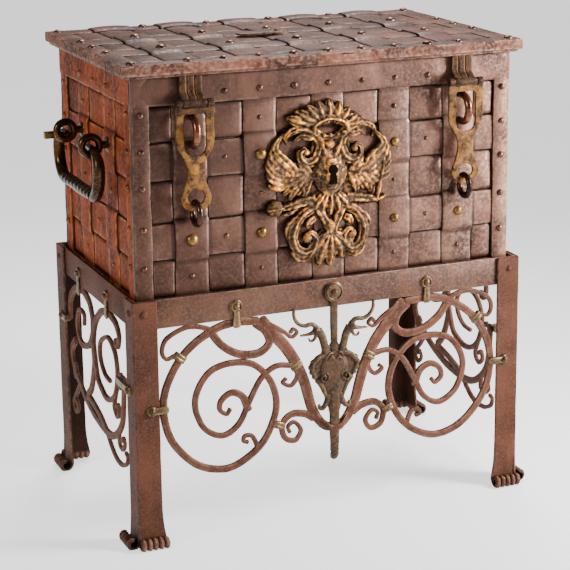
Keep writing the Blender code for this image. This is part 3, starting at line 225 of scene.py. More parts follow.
def patina_group() -> bpy.types.NodeTree:
    """Old forged iron: blotches, rust bloom, fine mottle, pits and hammer marks.

    Returns:
        The group.
    """
    nodes, given = effect_group("forged_patina", ("Base", "Light", "Dark", "Rust"),
                                ("Rust Amount", "Blotch Scale", "Grain Scale"), ("Mottle", "Height"))
    where = given["Vector"]
    blotch = nodes.noise(where, given["Blotch Scale"], 5.0, 0.6, 0.4)
    grain = nodes.noise(where, given["Grain Scale"], 4.0, 0.65)
    cloud = nodes.add("ShaderNodeVectorMath", {0: where, 1: (3.1, 1.7, 2.3)}, operation="ADD").outputs[0]
    bloom = nodes.noise(cloud, given["Blotch Scale"], 6.0, 0.7, 0.8)
    dark = nodes.mix(nodes.band(blotch, 0.36, 0.66), given["Dark"], given["Base"])
    mottled = nodes.mix(nodes.times(nodes.band(grain, 0.40, 0.85), 0.65), dark, given["Light"])
    rusty = nodes.times(nodes.band(bloom, 0.42, 0.68), given["Rust Amount"])
    rusted = nodes.mix(rusty, mottled, given["Rust"])
    cells = nodes.add("ShaderNodeTexVoronoi", {"Vector": cloud, "Scale": 260.0}, feature="F1")
    eaten = nodes.math("SUBTRACT", 1.0, nodes.band(cells.outputs["Distance"], 0.10, 0.34))
    pits = nodes.times(eaten, nodes.band(bloom, 0.50, 0.62))
    coloured = nodes.mix(nodes.times(pits, 0.55), rusted, given["Dark"])
    hammer = nodes.noise(where, 55.0, 2.0, 0.5)
    raised = nodes.math("ADD", nodes.times(hammer, 0.7), nodes.times(grain, 0.22))
    height = nodes.math("SUBTRACT", raised, nodes.times(pits, 0.25))
    nodes.add("NodeGroupOutput", {"Colour": coloured, "Mottle": grain, "Height": height})
    return nodes.tree


def wear_group() -> bpy.types.NodeTree:
    """Edges rubbed bright, and hollows darkened with grime and painted shade, from the marks on a piece's points.

    Returns:
        The group.
    """
    nodes, given = effect_group("edge_wear", ("Colour", "Rubbed", "Grime And Shade"),
                                ("Edge", "Hollow", "Wear Amount", "Grime And Shade Amount"))
    broken = nodes.band(nodes.noise(given["Vector"], 75.0, 4.0, 0.6), 0.34, 0.66)
    wear = nodes.times(nodes.times(given["Edge"], broken), given["Wear Amount"])
    # hollows darkened with grime and painted shade
    dirt = nodes.times(given["Hollow"], given["Grime And Shade Amount"])
    rubbed = nodes.mix(wear, given["Colour"], given["Rubbed"])
    nodes.add("NodeGroupOutput", {"Colour": nodes.mix(dirt, rubbed, given["Grime And Shade"])})
    return nodes.tree


def streak_group() -> bpy.types.NodeTree:
    """Upright runs of rust, as water leaves them on a wall.

    Returns:
        The group.
    """
    nodes, given = effect_group("rust_runs", ("Colour", "Run"), ("Amount",))
    drawn = nodes.add("ShaderNodeMapping", {"Vector": given["Vector"], "Scale": (55.0, 55.0, 5.0)}).outputs[0]
    runs = nodes.band(nodes.noise(drawn, 1.0, 4.0, 0.6, 0.3), 0.46, 0.66)
    share = nodes.times(runs, given["Amount"])
    nodes.add("NodeGroupOutput", {"Colour": nodes.mix(share, given["Colour"], given["Run"])})
    return nodes.tree


class Effects:
    """The shared shader groups."""

    def __init__(self) -> None:
        """Build each group once."""
        self.patina = patina_group()
        self.wear = wear_group()
        self.streaks = streak_group()


# Finishes


class Coat:
    """A material in the making."""

    def __init__(self, name: str) -> None:
        """Start a material that reads places in the frame.

        Args:
            name: Its name.
        """
        self.material = bpy.data.materials.new(name)
        self.material.use_nodes = True
        self.nodes = Nodes(self.material.node_tree)
        self.where = self.nodes.add("ShaderNodeTexCoord").outputs["Object"]

    def mark(self, label: str) -> Socket:
        """A mark that a piece carries on its points."""
        return self.nodes.add("ShaderNodeAttribute", attribute_name=label).outputs["Fac"]

    def effect(self, group: bpy.types.NodeTree, links: dict) -> bpy.types.Node:
        """Place a shared effect with this finish's own values."""
        return self.nodes.add("ShaderNodeGroup", {"Vector": self.where, **links}, node_tree=group)

    def finish(self, links: dict, height: Socket, strength: float, depth: float) -> bpy.types.Material:
        """Feed the shader.

        Args:
            links: The shader's inputs.
            height: Fine relief of the surface.
            strength: How strongly the relief shows.
            depth: How deep it is.

        Returns:
            The finished material.
        """
        bump = self.nodes.add("ShaderNodeBump", {"Strength": strength, "Distance": depth, "Height": height})
        shader = self.material.node_tree.nodes["Principled BSDF"]
        self.nodes.feed(shader, {**links, "Normal": bump.outputs["Normal"]})
        return self.material


@dataclass(frozen=True)
class Iron:
    """A forged-iron finish with patina, worn edges, and grime with painted shade in its hollows."""

    name: str
    base: Colour
    light: Colour
    dark: Colour
    rust: Colour
    rubbed: Colour
    # dark colour laid in the hollows: grime, and painted shade where shade falls
    dirt: Colour = srgb(22, 13, 10)
    rust_amount: float = 0.35
    run_amount: float = 0.0
    wear: float = 0.7
    # how strongly the hollows take that grime and painted shade
    soil: float = 0.85
    blotch_scale: float = 14.0
    grain_scale: float = 190.0
    metallic: float = 0.35
    smooth: float = 0.36
    rough: float = 0.66
    bump: float = 0.0011
    sheen: float = 0.22

    def make(self, effects: Effects) -> bpy.types.Material:
        """Build the material.

        Args:
            effects: The shared shader groups.

        Returns:
            The finished material.
        """
        coat = Coat(self.name)
        nodes = coat.nodes
        patina = coat.effect(effects.patina, {
            "Base": self.base, "Light": self.light, "Dark": self.dark, "Rust": self.rust,
            "Rust Amount": self.rust_amount, "Blotch Scale": self.blotch_scale,
            "Grain Scale": self.grain_scale})
        # tone darkens at random, and on the front straps also towards the left as painted shade
        colour = nodes.mix(nodes.times(coat.mark("tone"), 0.45), patina.outputs["Colour"], self.dark)
        if self.run_amount:
            links = {"Colour": colour, "Run": self.rust, "Amount": self.run_amount}
            colour = coat.effect(effects.streaks, links).outputs["Colour"]
        worn = coat.effect(effects.wear, {
            "Colour": colour, "Edge": coat.mark("edge"), "Hollow": coat.mark("hollow"), "Rubbed": self.rubbed,
            "Grime And Shade": self.dirt, "Wear Amount": self.wear, "Grime And Shade Amount": self.soil})
        gloss = nodes.add("ShaderNodeMapRange", {
            "Value": patina.outputs["Mottle"], "From Min": 0.35, "From Max": 0.7, "To Min": self.rough,
            "To Max": self.smooth})
        return coat.finish({"Base Color": worn.outputs["Colour"], "Roughness": gloss.outputs["Result"],
                            "Metallic": self.metallic, "Specular IOR Level": self.sheen},
                           patina.outputs["Height"], 0.7, self.bump)


@dataclass(frozen=True)
class Gilding:
    """Worn gilding: gold left on the heights, brown ground showing through, black grime and painted shade in the
    hollows.
    """

    name: str
    gold: Colour
    bright: Colour
    ochre: Colour
    ground: Colour
    rubbed: Colour
    # black laid in the hollows: grime, and painted shade where shade falls
    dirt: Colour
    cover: float
    bump: float = 0.0007

    def make(self, effects: Effects) -> bpy.types.Material:
        """Build the material.

        Args:
            effects: The shared shader groups.

        Returns:
            The finished material.
        """
        coat = Coat(self.name)
        nodes, where = coat.nodes, coat.where
        edge, hollow = coat.mark("edge"), coat.mark("hollow")
        patina = coat.effect(effects.patina, {
            "Base": self.ground, "Light": self.rubbed, "Dark": self.dirt, "Rust": self.ground,
            "Rust Amount": 0.3, "Blotch Scale": 34.0, "Grain Scale": 260.0})
        patches = nodes.math("ADD", nodes.noise(where, 46.0, 5.0, 0.65, 0.5), nodes.times(edge, 0.22))
        kept = nodes.band(patches, 0.82 - self.cover, 1.02 - self.cover)
        lost = nodes.band(nodes.noise(where, 21.0, 4.0, 0.6, 0.4), 0.40, 0.56)
        spared = nodes.math("ADD", nodes.times(lost, 0.84), 0.16)
        # no gold in the hollows, which are darkened below with grime and painted shade
        gilt = nodes.times(nodes.times(kept, nodes.math("SUBTRACT", 1.0, hollow)), spared)
        gold = nodes.mix(nodes.band(nodes.noise(where, 120.0, 3.0, 0.6), 0.40, 0.72), self.gold, self.bright)
        gold = nodes.mix(nodes.band(nodes.noise(where, 30.0, 3.0, 0.6, 0.6), 0.50, 0.64), gold, self.ochre)
        worn = coat.effect(effects.wear, {
            "Colour": nodes.mix(gilt, patina.outputs["Colour"], gold), "Edge": edge, "Hollow": hollow,
            "Rubbed": self.bright, "Grime And Shade": self.dirt, "Wear Amount": 0.3, "Grime And Shade Amount": 0.92})
        metal, gloss = (nodes.add("ShaderNodeMapRange", {"Value": gilt, "To Min": bare, "To Max": full})
                        for bare, full in ((0.15, 0.6), (0.62, 0.36)))
        return coat.finish({"Base Color": worn.outputs["Colour"], "Metallic": metal.outputs["Result"],
                            "Roughness": gloss.outputs["Result"], "Specular IOR Level": 0.04},
                           patina.outputs["Height"], 0.6, self.bump)


FINISHES: tuple[Union[Iron, Gilding], ...] = (
    Iron("strap_iron", srgb(117, 80, 63), srgb(166, 132, 114), srgb(50, 29, 21), srgb(108, 60, 38),
         srgb(190, 156, 136), wear=0.24, blotch_scale=10.0, grain_scale=170.0, metallic=0.5, smooth=0.27,
         rough=0.52, sheen=0.24),
    Iron("side_strap_iron", srgb(128, 53, 18), srgb(166, 90, 42), srgb(60, 25, 11), srgb(148, 58, 14),
         srgb(214, 156, 108), rust_amount=0.6, run_amount=0.45, wear=0.6, blotch_scale=10.0,
         grain_scale=130.0, metallic=0.1, smooth=0.46, rough=0.76, sheen=0.1),
    Iron("shell_iron", srgb(94, 64, 50), srgb(144, 112, 96), srgb(42, 26, 19), srgb(104, 58, 38),
         srgb(172, 138, 118), rust_amount=0.5, wear=0.5),
    Iron("side_shell_iron", srgb(114, 49, 18), srgb(152, 84, 42), srgb(48, 22, 11), srgb(138, 52, 14),
         srgb(180, 128, 92), rust_amount=0.6, run_amount=0.4, metallic=0.1, smooth=0.46, rough=0.76,
         sheen=0.1),
    Iron("lid_iron", srgb(98, 63, 50), srgb(150, 115, 100), srgb(40, 23, 17), srgb(104, 54, 36),
         srgb(170, 136, 118), wear=0.2, blotch_scale=12.0, grain_scale=150.0, metallic=0.3, smooth=0.38,
         rough=0.58, sheen=0.12),
    Iron("edge_iron", srgb(106, 67, 52), srgb(160, 122, 105), srgb(46, 27, 20), srgb(108, 56, 35),
         srgb(192, 158, 138), rust_amount=0.4, wear=0.3, blotch_scale=12.0, grain_scale=150.0, metallic=0.0,
         smooth=0.4, rough=0.6, sheen=0.04),
    Iron("stand_iron", srgb(78, 48, 37), srgb(106, 73, 58), srgb(54, 33, 25), srgb(88, 51, 35),
         srgb(170, 132, 110), rust_amount=0.3, run_amount=0.25, wear=0.3, blotch_scale=12.0,
         grain_scale=300.0, metallic=0.0, smooth=0.4, rough=0.6, sheen=0.04),
    Iron("rail_iron", srgb(82, 57, 46), srgb(120, 93, 79), srgb(54, 35, 27), srgb(100, 62, 40),
         srgb(190, 154, 128), run_amount=0.2, wear=0.4, blotch_scale=9.0, grain_scale=260.0, metallic=0.25,
         smooth=0.32, rough=0.54, sheen=0.14),
    Iron("chased_iron", srgb(60, 46, 36), srgb(94, 75, 57), srgb(34, 25, 19), srgb(84, 57, 34),
         srgb(164, 134, 94), rust_amount=0.4, wear=0.5, blotch_scale=26.0, metallic=0.3, smooth=0.34,
         rough=0.54, sheen=0.08),
    Iron("clip_iron", srgb(94, 71, 48), srgb(146, 117, 82), srgb(46, 33, 24), srgb(108, 70, 38),
         srgb(204, 172, 126), rust_amount=0.4, wear=0.5, metallic=0.6, smooth=0.24, rough=0.48),
    Iron("rivet_iron", srgb(92, 62, 47), srgb(156, 122, 104), srgb(40, 24, 18), srgb(96, 54, 34),
         srgb(206, 176, 156), rust_amount=0.3, metallic=0.7, smooth=0.24, rough=0.42, bump=0.0004),
    Iron("side_rivet_iron", srgb(112, 64, 36), srgb(176, 128, 90), srgb(56, 29, 18), srgb(128, 60, 26),
         srgb(206, 166, 128), rust_amount=0.4, metallic=0.6, smooth=0.26, rough=0.45, bump=0.0004),
    Iron("dark_steel", srgb(60, 42, 34), srgb(116, 86, 70), srgb(22, 15, 12), srgb(96, 53, 35),
         srgb(206, 172, 146), rust_amount=0.3, metallic=0.85, smooth=0.16, rough=0.34, bump=0.0005),
    Iron("red_steel", srgb(112, 66, 49), srgb(168, 116, 92), srgb(50, 28, 21), srgb(120, 58, 37),
         srgb(226, 188, 164), rust_amount=0.3, metallic=0.85, smooth=0.14, rough=0.3, bump=0.0004),
    Iron("handle_bronze", srgb(58, 40, 25), srgb(126, 90, 48), srgb(19, 13, 10), srgb(118, 76, 33),
         srgb(220, 172, 94), rust_amount=0.4, metallic=0.85, smooth=0.16, rough=0.36, bump=0.0007),
    Iron("brass_stud", srgb(126, 92, 48), srgb(184, 146, 84), srgb(56, 38, 21), srgb(108, 70, 34),
         srgb(226, 192, 128), rust_amount=0.4, metallic=0.75, smooth=0.24, rough=0.42, bump=0.0004),
    Iron("lock_steel", srgb(118, 110, 104), srgb(176, 168, 160), srgb(58, 50, 46), srgb(110, 74, 52),
         srgb(214, 206, 198), rust_amount=0.3, metallic=0.8, smooth=0.3, rough=0.5, bump=0.0004),
    # black keyhole plate: painted shade standing in for the dark inside of the keyhole
    Iron("keyhole_painted_shade", srgb(12, 9, 8), srgb(22, 17, 14), srgb(6, 5, 5), srgb(18, 12, 9), srgb(30, 24, 20),
         metallic=0.0, smooth=0.9, rough=1.0, sheen=0.0),
    Gilding("gilt", srgb(190, 110, 44), srgb(252, 186, 102), srgb(156, 108, 34), srgb(74, 56, 44),
            srgb(134, 102, 76), srgb(12, 8, 6), cover=0.35),
    Gilding("hasp_gilt", srgb(138, 80, 32), srgb(196, 134, 64), srgb(120, 82, 32), srgb(56, 40, 31),
            srgb(104, 78, 58), srgb(18, 12, 8), cover=0.11),
)


# Paths and sections


def held(value: float) -> float:
    """Hold a value between 0 and 1."""
    return min(1.0, max(0.0, value))


def eased(value: float) -> float:
    """Rise smoothly from 0 to 1."""
    share = held(value)
    return share * share * (3 - 2 * share)


def level(height: float) -> Callable[[float], float]:
    """A height that stays the same all along."""
    return lambda _: height


def turns(count: int) -> list[float]:
    """Angles evenly spaced round a circle."""
    return [2 * math.pi * k / count for k in range(count)]


def circle(centre: Vector, across: Vector, beside: Vector, count: int) -> list[Vector]:
    """Points round a circle with these two radii."""
    return [centre + math.cos(a) * across + math.sin(a) * beside for a in turns(count)]


def spaced(count: int, pitch: float) -> list[float]:
    """Places evenly spaced about the middle."""
    return [(i - (count - 1) / 2) * pitch for i in range(count)]


def between(places: Sequence[float]) -> list[float]:
    """The middles between neighbouring places."""
    return [(a + b) / 2 for a, b in zip(places, places[1:])]


def mirrored(half: Sequence[Pair]) -> list[Pair]:
    """Close half an outline with its mirror image, with single points on the middle line."""
    return [*half, *((-a, b) for a, b in reversed(half) if abs(a) > CLEAR)]


def hung(points: Sequence[Pair], flip: int = 1) -> list[Pair]:
    """Read an outline in millimetres, with its heights from the rail's lower edge."""
    return [(flip * a * MM, RAIL_BOTTOM_Z + b * MM) for a, b in points]


def front_place(face_y: float) -> Place:
    """Place (across, out, up) on the front, with out measured from a plane towards the viewer."""
    return lambda across, out, up: Vector((across, face_y - out, up))


def smooth_through(points: Sequence[Pair], steps: int) -> list[Vector]:
    """Run a smooth curve through given points.

    Args:
        points: The points.
        steps: Steps between one point and the next.

    Returns:
        The curve's points.
    """
    knots = [Vector(point) for point in points]
    padded = [2 * knots[0] - knots[1], *knots, 2 * knots[-1] - knots[-2]]
    path = [knots[0]]
    for before, start, end, after in zip(padded, padded[1:], padded[2:], padded[3:]):
        for step in range(1, steps + 1):
            t = step / steps
            pull = (end - before) * t + (2 * before - 5 * start + 4 * end - after) * t ** 2
            path.append(start + 0.5 * (pull + (3 * start - before - 3 * end + after) * t ** 3))
    return path


def framed(path: Sequence[Vector]) -> Iterator[tuple[Vector, Vector, Vector]]:
    """Follow a plane path.

    Args:
        path: Its points.

    Returns:
        Each point, with the way the path runs there and the way across it.
    """
    last = len(path) - 1
    for i, point in enumerate(path):
        run = (path[min(i + 1, last)] - path[max(i - 1, 0)]).normalized()
        yield point, run, Vector((-run[1], run[0]))


def squircle(count: int, square: float) -> list[Pair]:
    """A closed section of half size 1, from round (1) towards square (0).

    Args:
        count: Number of its points.
        square: How round it is.

    Returns:
        Its points.
    """
    angles = [2 * math.pi * (i + 0.5) / count for i in range(count)]
    waves = [(math.cos(a), math.sin(a)) for a in angles]
    return [(math.copysign(abs(c) ** square, c), math.copysign(abs(s) ** square, s)) for c, s in waves]


def corner_marks(section: Sequence[Pair]) -> list[float]:
    """Mark how near each point of a section lies to a corner."""
    return [max(0.0, 2.6 * min(abs(a), abs(b)) - 1.25) for a, b in section]


def forging(spot: Vector, size: float) -> Vector:
    """How far hand forging leaves a point from its true place, in broad dents and fine ones."""
    return size * noise.noise_vector(spot * 22.0) + 0.35 * size * noise.noise_vector(spot * 90.0)


# Meshes

BAR_END = [(0.12, 0.85), (0.22, 0.55)]
DOME_PROFILE = ((1.02, -0.3), (1.02, 0.06), (0.96, 0.3), (0.84, 0.58), (0.62, 0.83), (0.34, 0.96),
                (0.08, 1.0))
BLOCK_WEAR = 0.35
BEND_GAIN = 9.0
EASED_WEAR = 0.9


def linked(name: str, data: bpy.types.ID) -> bpy.types.Object:
    """Put an object into the scene.

    Args:
        name: Its name.
        data: Its mesh, curve, lamp or camera.

    Returns:
        The object.
    """
    item = bpy.data.objects.new(name, data)
    bpy.context.scene.collection.objects.link(item)
    return item


def settled(holder: bpy.types.Object) -> bpy.types.Mesh:
    """Turn a helper object with its modifiers into a plain mesh, and remove it.

    Args:
        holder: The helper object.

    Returns:
        A new mesh.
    """
    mesh = bpy.data.meshes.new_from_object(holder.evaluated_get(bpy.context.evaluated_depsgraph_get()))
    bpy.data.objects.remove(holder, do_unlink=True)
    return mesh


def mark(mesh: bpy.types.Mesh, label: str, values: Sequence[float]) -> None:
    """Note a mark on every point of a mesh."""
    layer = mesh.attributes.new(label, "FLOAT", "POINT")
    layer.data.foreach_set("value", np.asarray(values, np.float32))


def points_of(mesh: bpy.types.Mesh, label: str) -> np.ndarray:
    """Read the places or normals of a mesh's points.

    Args:
        mesh: The mesh.
        label: What to read, co or normal.

    Returns:
        One row for each point.
    """
    values = np.empty(len(mesh.vertices) * 3, np.float32)
    mesh.vertices.foreach_get(label, values)
    return values.reshape(-1, 3)


class Forge:
    """Collects closed shapes into one mesh, and marks worn edges, hollows and tone on their points."""

    def __init__(self, rough: float) -> None:
        """Start with nothing.

        Args:
            rough: How uneven hand work leaves the shapes.
        """
        self.rough = rough
        self.verts: list[Vector] = []
        self.faces: list[tuple[int, ...]] = []
        self.edge: list[float] = []
        self.hollow: list[float] = []
        self.tone: list[float] = []

    def point(self, spot: Vector, edge: float = 0.0, hollow: float = 0.0, tone: float = 0.0) -> int:
        """Add a point.

        Args:
            spot: Its true place.
            edge: Wear mark.
            hollow: Mark of grime and painted shade.
            tone: How much darker it is than the rest.

        Returns:
            Its number.
        """
        self.verts.append(spot + forging(spot, self.rough) if self.rough else spot)
        self.edge.append(min(1.0, edge))
        self.hollow.append(min(1.0, hollow))
        self.tone.append(tone)
        return len(self.verts) - 1

    def skin(self, rings: Sequence[Sequence[Vector]], edge: Sequence[float] = (),
             hollow: Sequence[float] = (), tone: float = 0.0, closed: bool = False,
             dirt: Sequence[float] = ()) -> None:
        """Bridge equal rings, and cap the ends unless the row closes on itself.

        Args:
            rings: Rings of places, all of one length.
            edge: Wear mark of each place in a ring.
            hollow: Mark of grime and painted shade of each place in a ring.
            tone: How much darker this shape is than the rest.
            closed: Whether the last ring joins the first.
            dirt: Mark of grime and painted shade of each whole ring.
        """
        count = len(rings[0])
        edge = edge or [0.0] * count
        hollow = hollow or [0.0] * count
        dirt = dirt or [0.0] * len(rings)
        # a ring's grime and painted shade darkens it and takes away its wear
        rows = [[self.point(spot, edge[i] * (1 - soil), max(hollow[i], soil), tone)
                 for i, spot in enumerate(ring)] for ring, soil in zip(rings, dirt)]
        pairs = list(zip(rows, rows[1:]))
        if closed:
            pairs.append((rows[-1], rows[0]))
        else:
            self.faces += [tuple(rows[0]), tuple(reversed(rows[-1]))]
        for first, second in pairs:
            for i in range(count):
                j = (i + 1) % count
                self.faces.append((first[i], second[i], second[j], first[j]))

    def adopt(self, bm: bmesh.types.BMesh, place: Callable[[Vector], Vector],
              edge: Callable[[Vector], float]) -> None:
        """Take over a finished shape.

        Args:
            bm: The shape, which is freed.
            place: Puts its points into the frame.
            edge: Wear mark of a point.
        """
        start = len(self.verts)
        for vert in bm.verts:
            self.point(place(vert.co), edge(vert.co))
        bm.verts.index_update()
        self.faces += [tuple(start + vert.index for vert in face.verts) for face in bm.faces]
        bm.free()

    def bar(self, path: Sequence[Vector], widths: Sequence[float], depth: Pair, place: Place,
            square: float = 0.42, sides: int = 14) -> None:
        """A flat forged bar that follows a plane path, with eased corners and rounded ends.

        Args:
            path: Points (across, up).
            widths: Width at every point.
            depth: Where the bar starts and ends, outwards.
            place: Puts (across, out, up) into the frame.
            square: How round its section is.
            sides: Points in its section.
        """
        section = squircle(sides, square)
        mid, half = 0.5 * (depth[0] + depth[1]), 0.5 * (depth[1] - depth[0])
        rings = []
        for i, (point, run, normal) in enumerate(framed(path)):
            stations = [(0.0, 1.0)]
            if i == 0:
                stations = [(-ahead, share) for ahead, share in reversed(BAR_END)] + stations
            elif i == len(path) - 1:
                stations += BAR_END
            for ahead, share in stations:
                spot = point + run * ahead * widths[i]
                flat = [(spot + normal * n * share * widths[i] / 2, mid + d * share * half)
                        for n, d in section]
                rings.append([place(across, out, up) for (across, up), out in flat])
        self.skin(rings, corner_marks(section))

    def tube(self, path: Sequence[Vector], radii: Sequence[float], closed: bool = False, sides: int = 18,
             ribs: int = 0, twist: float = 0.0, rib_depth: float = 0.0) -> None:
        """A round bar along a path in space, which may carry twisted ribs.

        Args:
            path: Points in the frame.
            radii: Radius at every point.
            closed: Whether the bar joins its own start.
            sides: Points in its section.
            ribs: Number of ribs round it.
            twist: Turn of the ribs from one point to the next, in radians.
            rib_depth: Depth of the ribs, as a share of the radius.
        """
        count = len(path)
        rings, side = [], None
        for i, point in enumerate(path):
            before = path[i - 1] if closed or i else path[0]
            after = path[(i + 1) % count] if closed or i < count - 1 else path[-1]
            run = (after - before).normalized()
            side = side or run.orthogonal().normalized()
            side = (side - run * side.dot(run)).normalized()
            over = run.cross(side)
            ring = []
            for angle in turns(sides):
                radius = radii[i] * (1 + rib_depth * math.cos(ribs * angle + twist * i))
                ring.append(point + radius * (math.cos(angle) * side + math.sin(angle) * over))
            rings.append(ring)
        self.skin(rings, closed=closed)

    def hoop(self, ring: Sequence[Vector], radius: float, sides: int) -> None:
        """A round bar of one thickness that closes on itself."""
        self.tube(ring, [radius] * len(ring), True, sides)

    def block(self, centre: Vector, half: Pair, ease: float) -> None:
        """A block with eased edges.

        Args:
            centre: Its middle.
            half: Its half sizes.
            ease: Width of the eased edges.
        """
        bm = bmesh.new()
        bmesh.ops.create_cube(bm, size=2.0, matrix=Matrix.Diagonal((*half, 1)))
        bmesh.ops.bevel(bm, geom=bm.edges[:], offset=ease, segments=3, profile=0.6, affect="EDGES")
        self.adopt(bm, lambda spot: centre + spot, lambda _: BLOCK_WEAR)

    def dome(self, spot: Vector, outward: Vector, radius: float, height: float, sides: int = 20) -> None:
        """A round boss that stands on a face.

        Args:
            spot: Its middle on the face.
            outward: The way it faces.
            radius: Its radius.
            height: Its height.
            sides: Points round it.
        """
        across = outward.orthogonal().normalized() * radius
        beside = outward.cross(across)
        self.skin([circle(spot + outward * lift * height, share * across, share * beside, sides)
                   for share, lift in DOME_PROFILE])

    def knob(self, spot: Vector, outward: Vector, head: Pair, rise: float, cap: Pair) -> None:
        """A flat round head, and a smaller dome that starts a little further out."""
        self.dome(spot, outward, *head, 24)
        self.dome(spot + outward * rise, outward, *cap)

    def plate(self, outlines: Sequence[Sequence[Pair]], depth: Pair, place: Place, ease: float,
              edge: float = 0.5) -> None:
        """A flat plate with eased edges, from an outer outline and the holes in it.

        Args:
            outlines: Closed outlines as (across, up), the outer one first.
            depth: Where the plate starts and ends, outwards.
            place: Puts (across, out, up) into the frame.
            ease: Radius of its edges.
            edge: Wear mark along them.
        """
        mid, half = 0.5 * (depth[0] + depth[1]), 0.5 * (depth[1] - depth[0])
        curve = bpy.data.curves.new("outline", "CURVE")
        curve.dimensions = "2D"
        curve.fill_mode = "BOTH"
        curve.extrude = half - ease
        curve.bevel_depth = ease
        curve.bevel_resolution = 2
        curve.offset = -ease
        for outline in outlines:
            spline = curve.splines.new("POLY")
            spline.points.add(len(outline) - 1)
            for knot, (a, b) in zip(spline.points, outline):
                knot.co = (a, b, 0, 1)
            spline.use_cyclic_u = True
        mesh = settled(linked("outline", curve))
        bm = bmesh.new()
        bm.from_mesh(mesh)
        bmesh.ops.remove_doubles(bm, verts=bm.verts[:], dist=0.00002)
        bpy.data.meshes.remove(mesh)
        self.adopt(bm, lambda spot: place(spot.x, mid + spot.z, spot.y),
                   lambda spot: edge if abs(spot.z) > 0.6 * half else 0.6 * edge)

    def mesh(self, name: str) -> bpy.types.Mesh:
        """Make a mesh of what has been collected, with its faces outwards and its marks on its points.

        Args:
            name: Its name.

        Returns:
            A new mesh.
        """
        mesh = bpy.data.meshes.new(name)
        mesh.from_pydata([tuple(vert) for vert in self.verts], [], self.faces)
        bm = bmesh.new()
        bm.from_mesh(mesh)
        bmesh.ops.recalc_face_normals(bm, faces=bm.faces[:])
        bm.to_mesh(mesh)
        bm.free()
        for label, values in (("edge", self.edge), ("hollow", self.hollow), ("tone", self.tone)):
            mark(mesh, label, values)
        mesh.shade_smooth()
        mesh.set_sharp_from_angle(angle=math.radians(50))
        return mesh


def chisel(mesh: bpy.types.Mesh, size: float) -> None:
    """Break up a cast surface with the small hollows that a chisel leaves.

    Args:
        mesh: The cast surface.
        size: Depth of the hollows.
    """
    places = points_of(mesh, "co")
    cut = np.array([noise.noise(Vector(spot) * 150.0) for spot in places.tolist()], np.float32)
    mesh.vertices.foreach_set("co", (places + size * cut[:, None] * points_of(mesh, "normal")).ravel())
    mesh.update()


def mark_bends(mesh: bpy.types.Mesh, grain: float, bite: float) -> None:
    """Mark ridges as worn, and grooves as hollow for grime and painted shade, from how each point lies among its
    neighbours.

    Args:
        mesh: The cast surface.
        grain: Size of its finest detail.
        bite: How strongly bends are marked.
    """
    places = points_of(mesh, "co")
    pairs = np.empty(len(mesh.edges) * 2, np.int32)
    mesh.edges.foreach_get("vertices", pairs)
    pairs = pairs.reshape(-1, 2)
    degree = np.maximum(np.bincount(pairs.ravel(), minlength=len(places)), 1)

    def around(values: np.ndarray) -> np.ndarray:
        """Mean of each point's neighbours.

        Args:
            values: One value or row for each point.

        Returns:
            The means.
        """
        total = np.zeros_like(values)
        np.add.at(total, pairs[:, 0], values[pairs[:, 1]])
        np.add.at(total, pairs[:, 1], values[pairs[:, 0]])
        return total / (degree[:, None] if values.ndim == 2 else degree)

    bend = np.einsum("ij,ij->i", around(places) - places, points_of(mesh, "normal")) / grain
    for _ in range(3):
        bend = 0.5 * bend + 0.5 * around(bend)
    for label, way in (("edge", -1), ("hollow", 1)):
        mark(mesh, label, np.clip(way * bend * BEND_GAIN * bite, 0, 1))


def cast(mesh: bpy.types.Mesh, voxel: float, rounds: int, bite: float, cut: float) -> bpy.types.Mesh:
    """Melt overlapping shapes into one cast surface, and mark its heights and hollows.

    Args:
        mesh: The overlapping shapes.
        voxel: Size of the finest detail kept.
        rounds: Rounds of smoothing.
        bite: How strongly bends are marked.
        cut: Depth of the chisel's marks.

    Returns:
        A new mesh.
    """
    holder = linked("cast", mesh)
    melt = holder.modifiers.new("melt", "REMESH")
    melt.mode = "VOXEL"
    melt.voxel_size = voxel
    melt.use_smooth_shade = True
    ease = holder.modifiers.new("ease", "SMOOTH")
    ease.factor = 0.5
    ease.iterations = rounds
    made = settled(holder)
    chisel(made, cut)
    mark_bends(made, voxel, bite)
    return made


def soil_low(mesh: bpy.types.Mesh, back_y: float, low: float, high: float) -> None:
    """Darken the points of a front relief that lie low, with grime and painted shade.

    Args:
        mesh: The relief, already marked.
        back_y: The plane it stands on.
        low: Height with full grime and painted shade.
        high: Height above which there is none.
    """
    out = back_y - points_of(mesh, "co")[:, 1]
    marks = np.empty(len(out), np.float32)
    layer = mesh.attributes["hollow"].data
    layer.foreach_get("value", marks)
    depth = np.clip((high - out) / (high - low), 0, 1)
    layer.foreach_set("value", np.clip(marks + depth, 0, 1).astype(np.float32))


def softened(node: str, width: float) -> bpy.types.Mesh:
    """A copy of a plain solid with eased edges, which are marked as worn.

    Args:
        node: The solid.
        width: Width of the eased edges.

    Returns:
        A new mesh.
    """
    bm = bmesh.new()
    bm.from_mesh(frame["nodes"][node].data)
    bmesh.ops.remove_doubles(bm, verts=bm.verts[:], dist=0.000005)
    bmesh.ops.dissolve_limit(bm, angle_limit=math.radians(2), verts=bm.verts[:], edges=bm.edges[:])
    sharp = [edge for edge in bm.edges
             if len(edge.link_faces) == 2 and edge.calc_face_angle() > math.radians(40)]
    made = bmesh.ops.bevel(bm, geom=sharp, offset=width, segments=2, profile=0.6, affect="EDGES",
                           clamp_overlap=True)
    bm.faces.index_update()
    worn = {face.index for face in made["faces"]}
    mesh = bpy.data.meshes.new(node)
    bm.to_mesh(mesh)
    bm.free()
    values = np.zeros(len(mesh.loops), np.float32)
    for polygon in mesh.polygons:
        if polygon.index in worn:
            values[polygon.loop_start:polygon.loop_start + polygon.loop_total] = EASED_WEAR
    mesh.attributes.new("edge", "FLOAT", "CORNER").data.foreach_set("value", values)
    mesh.shade_smooth()
    mesh.set_sharp_from_angle(angle=math.radians(35))
    return mesh


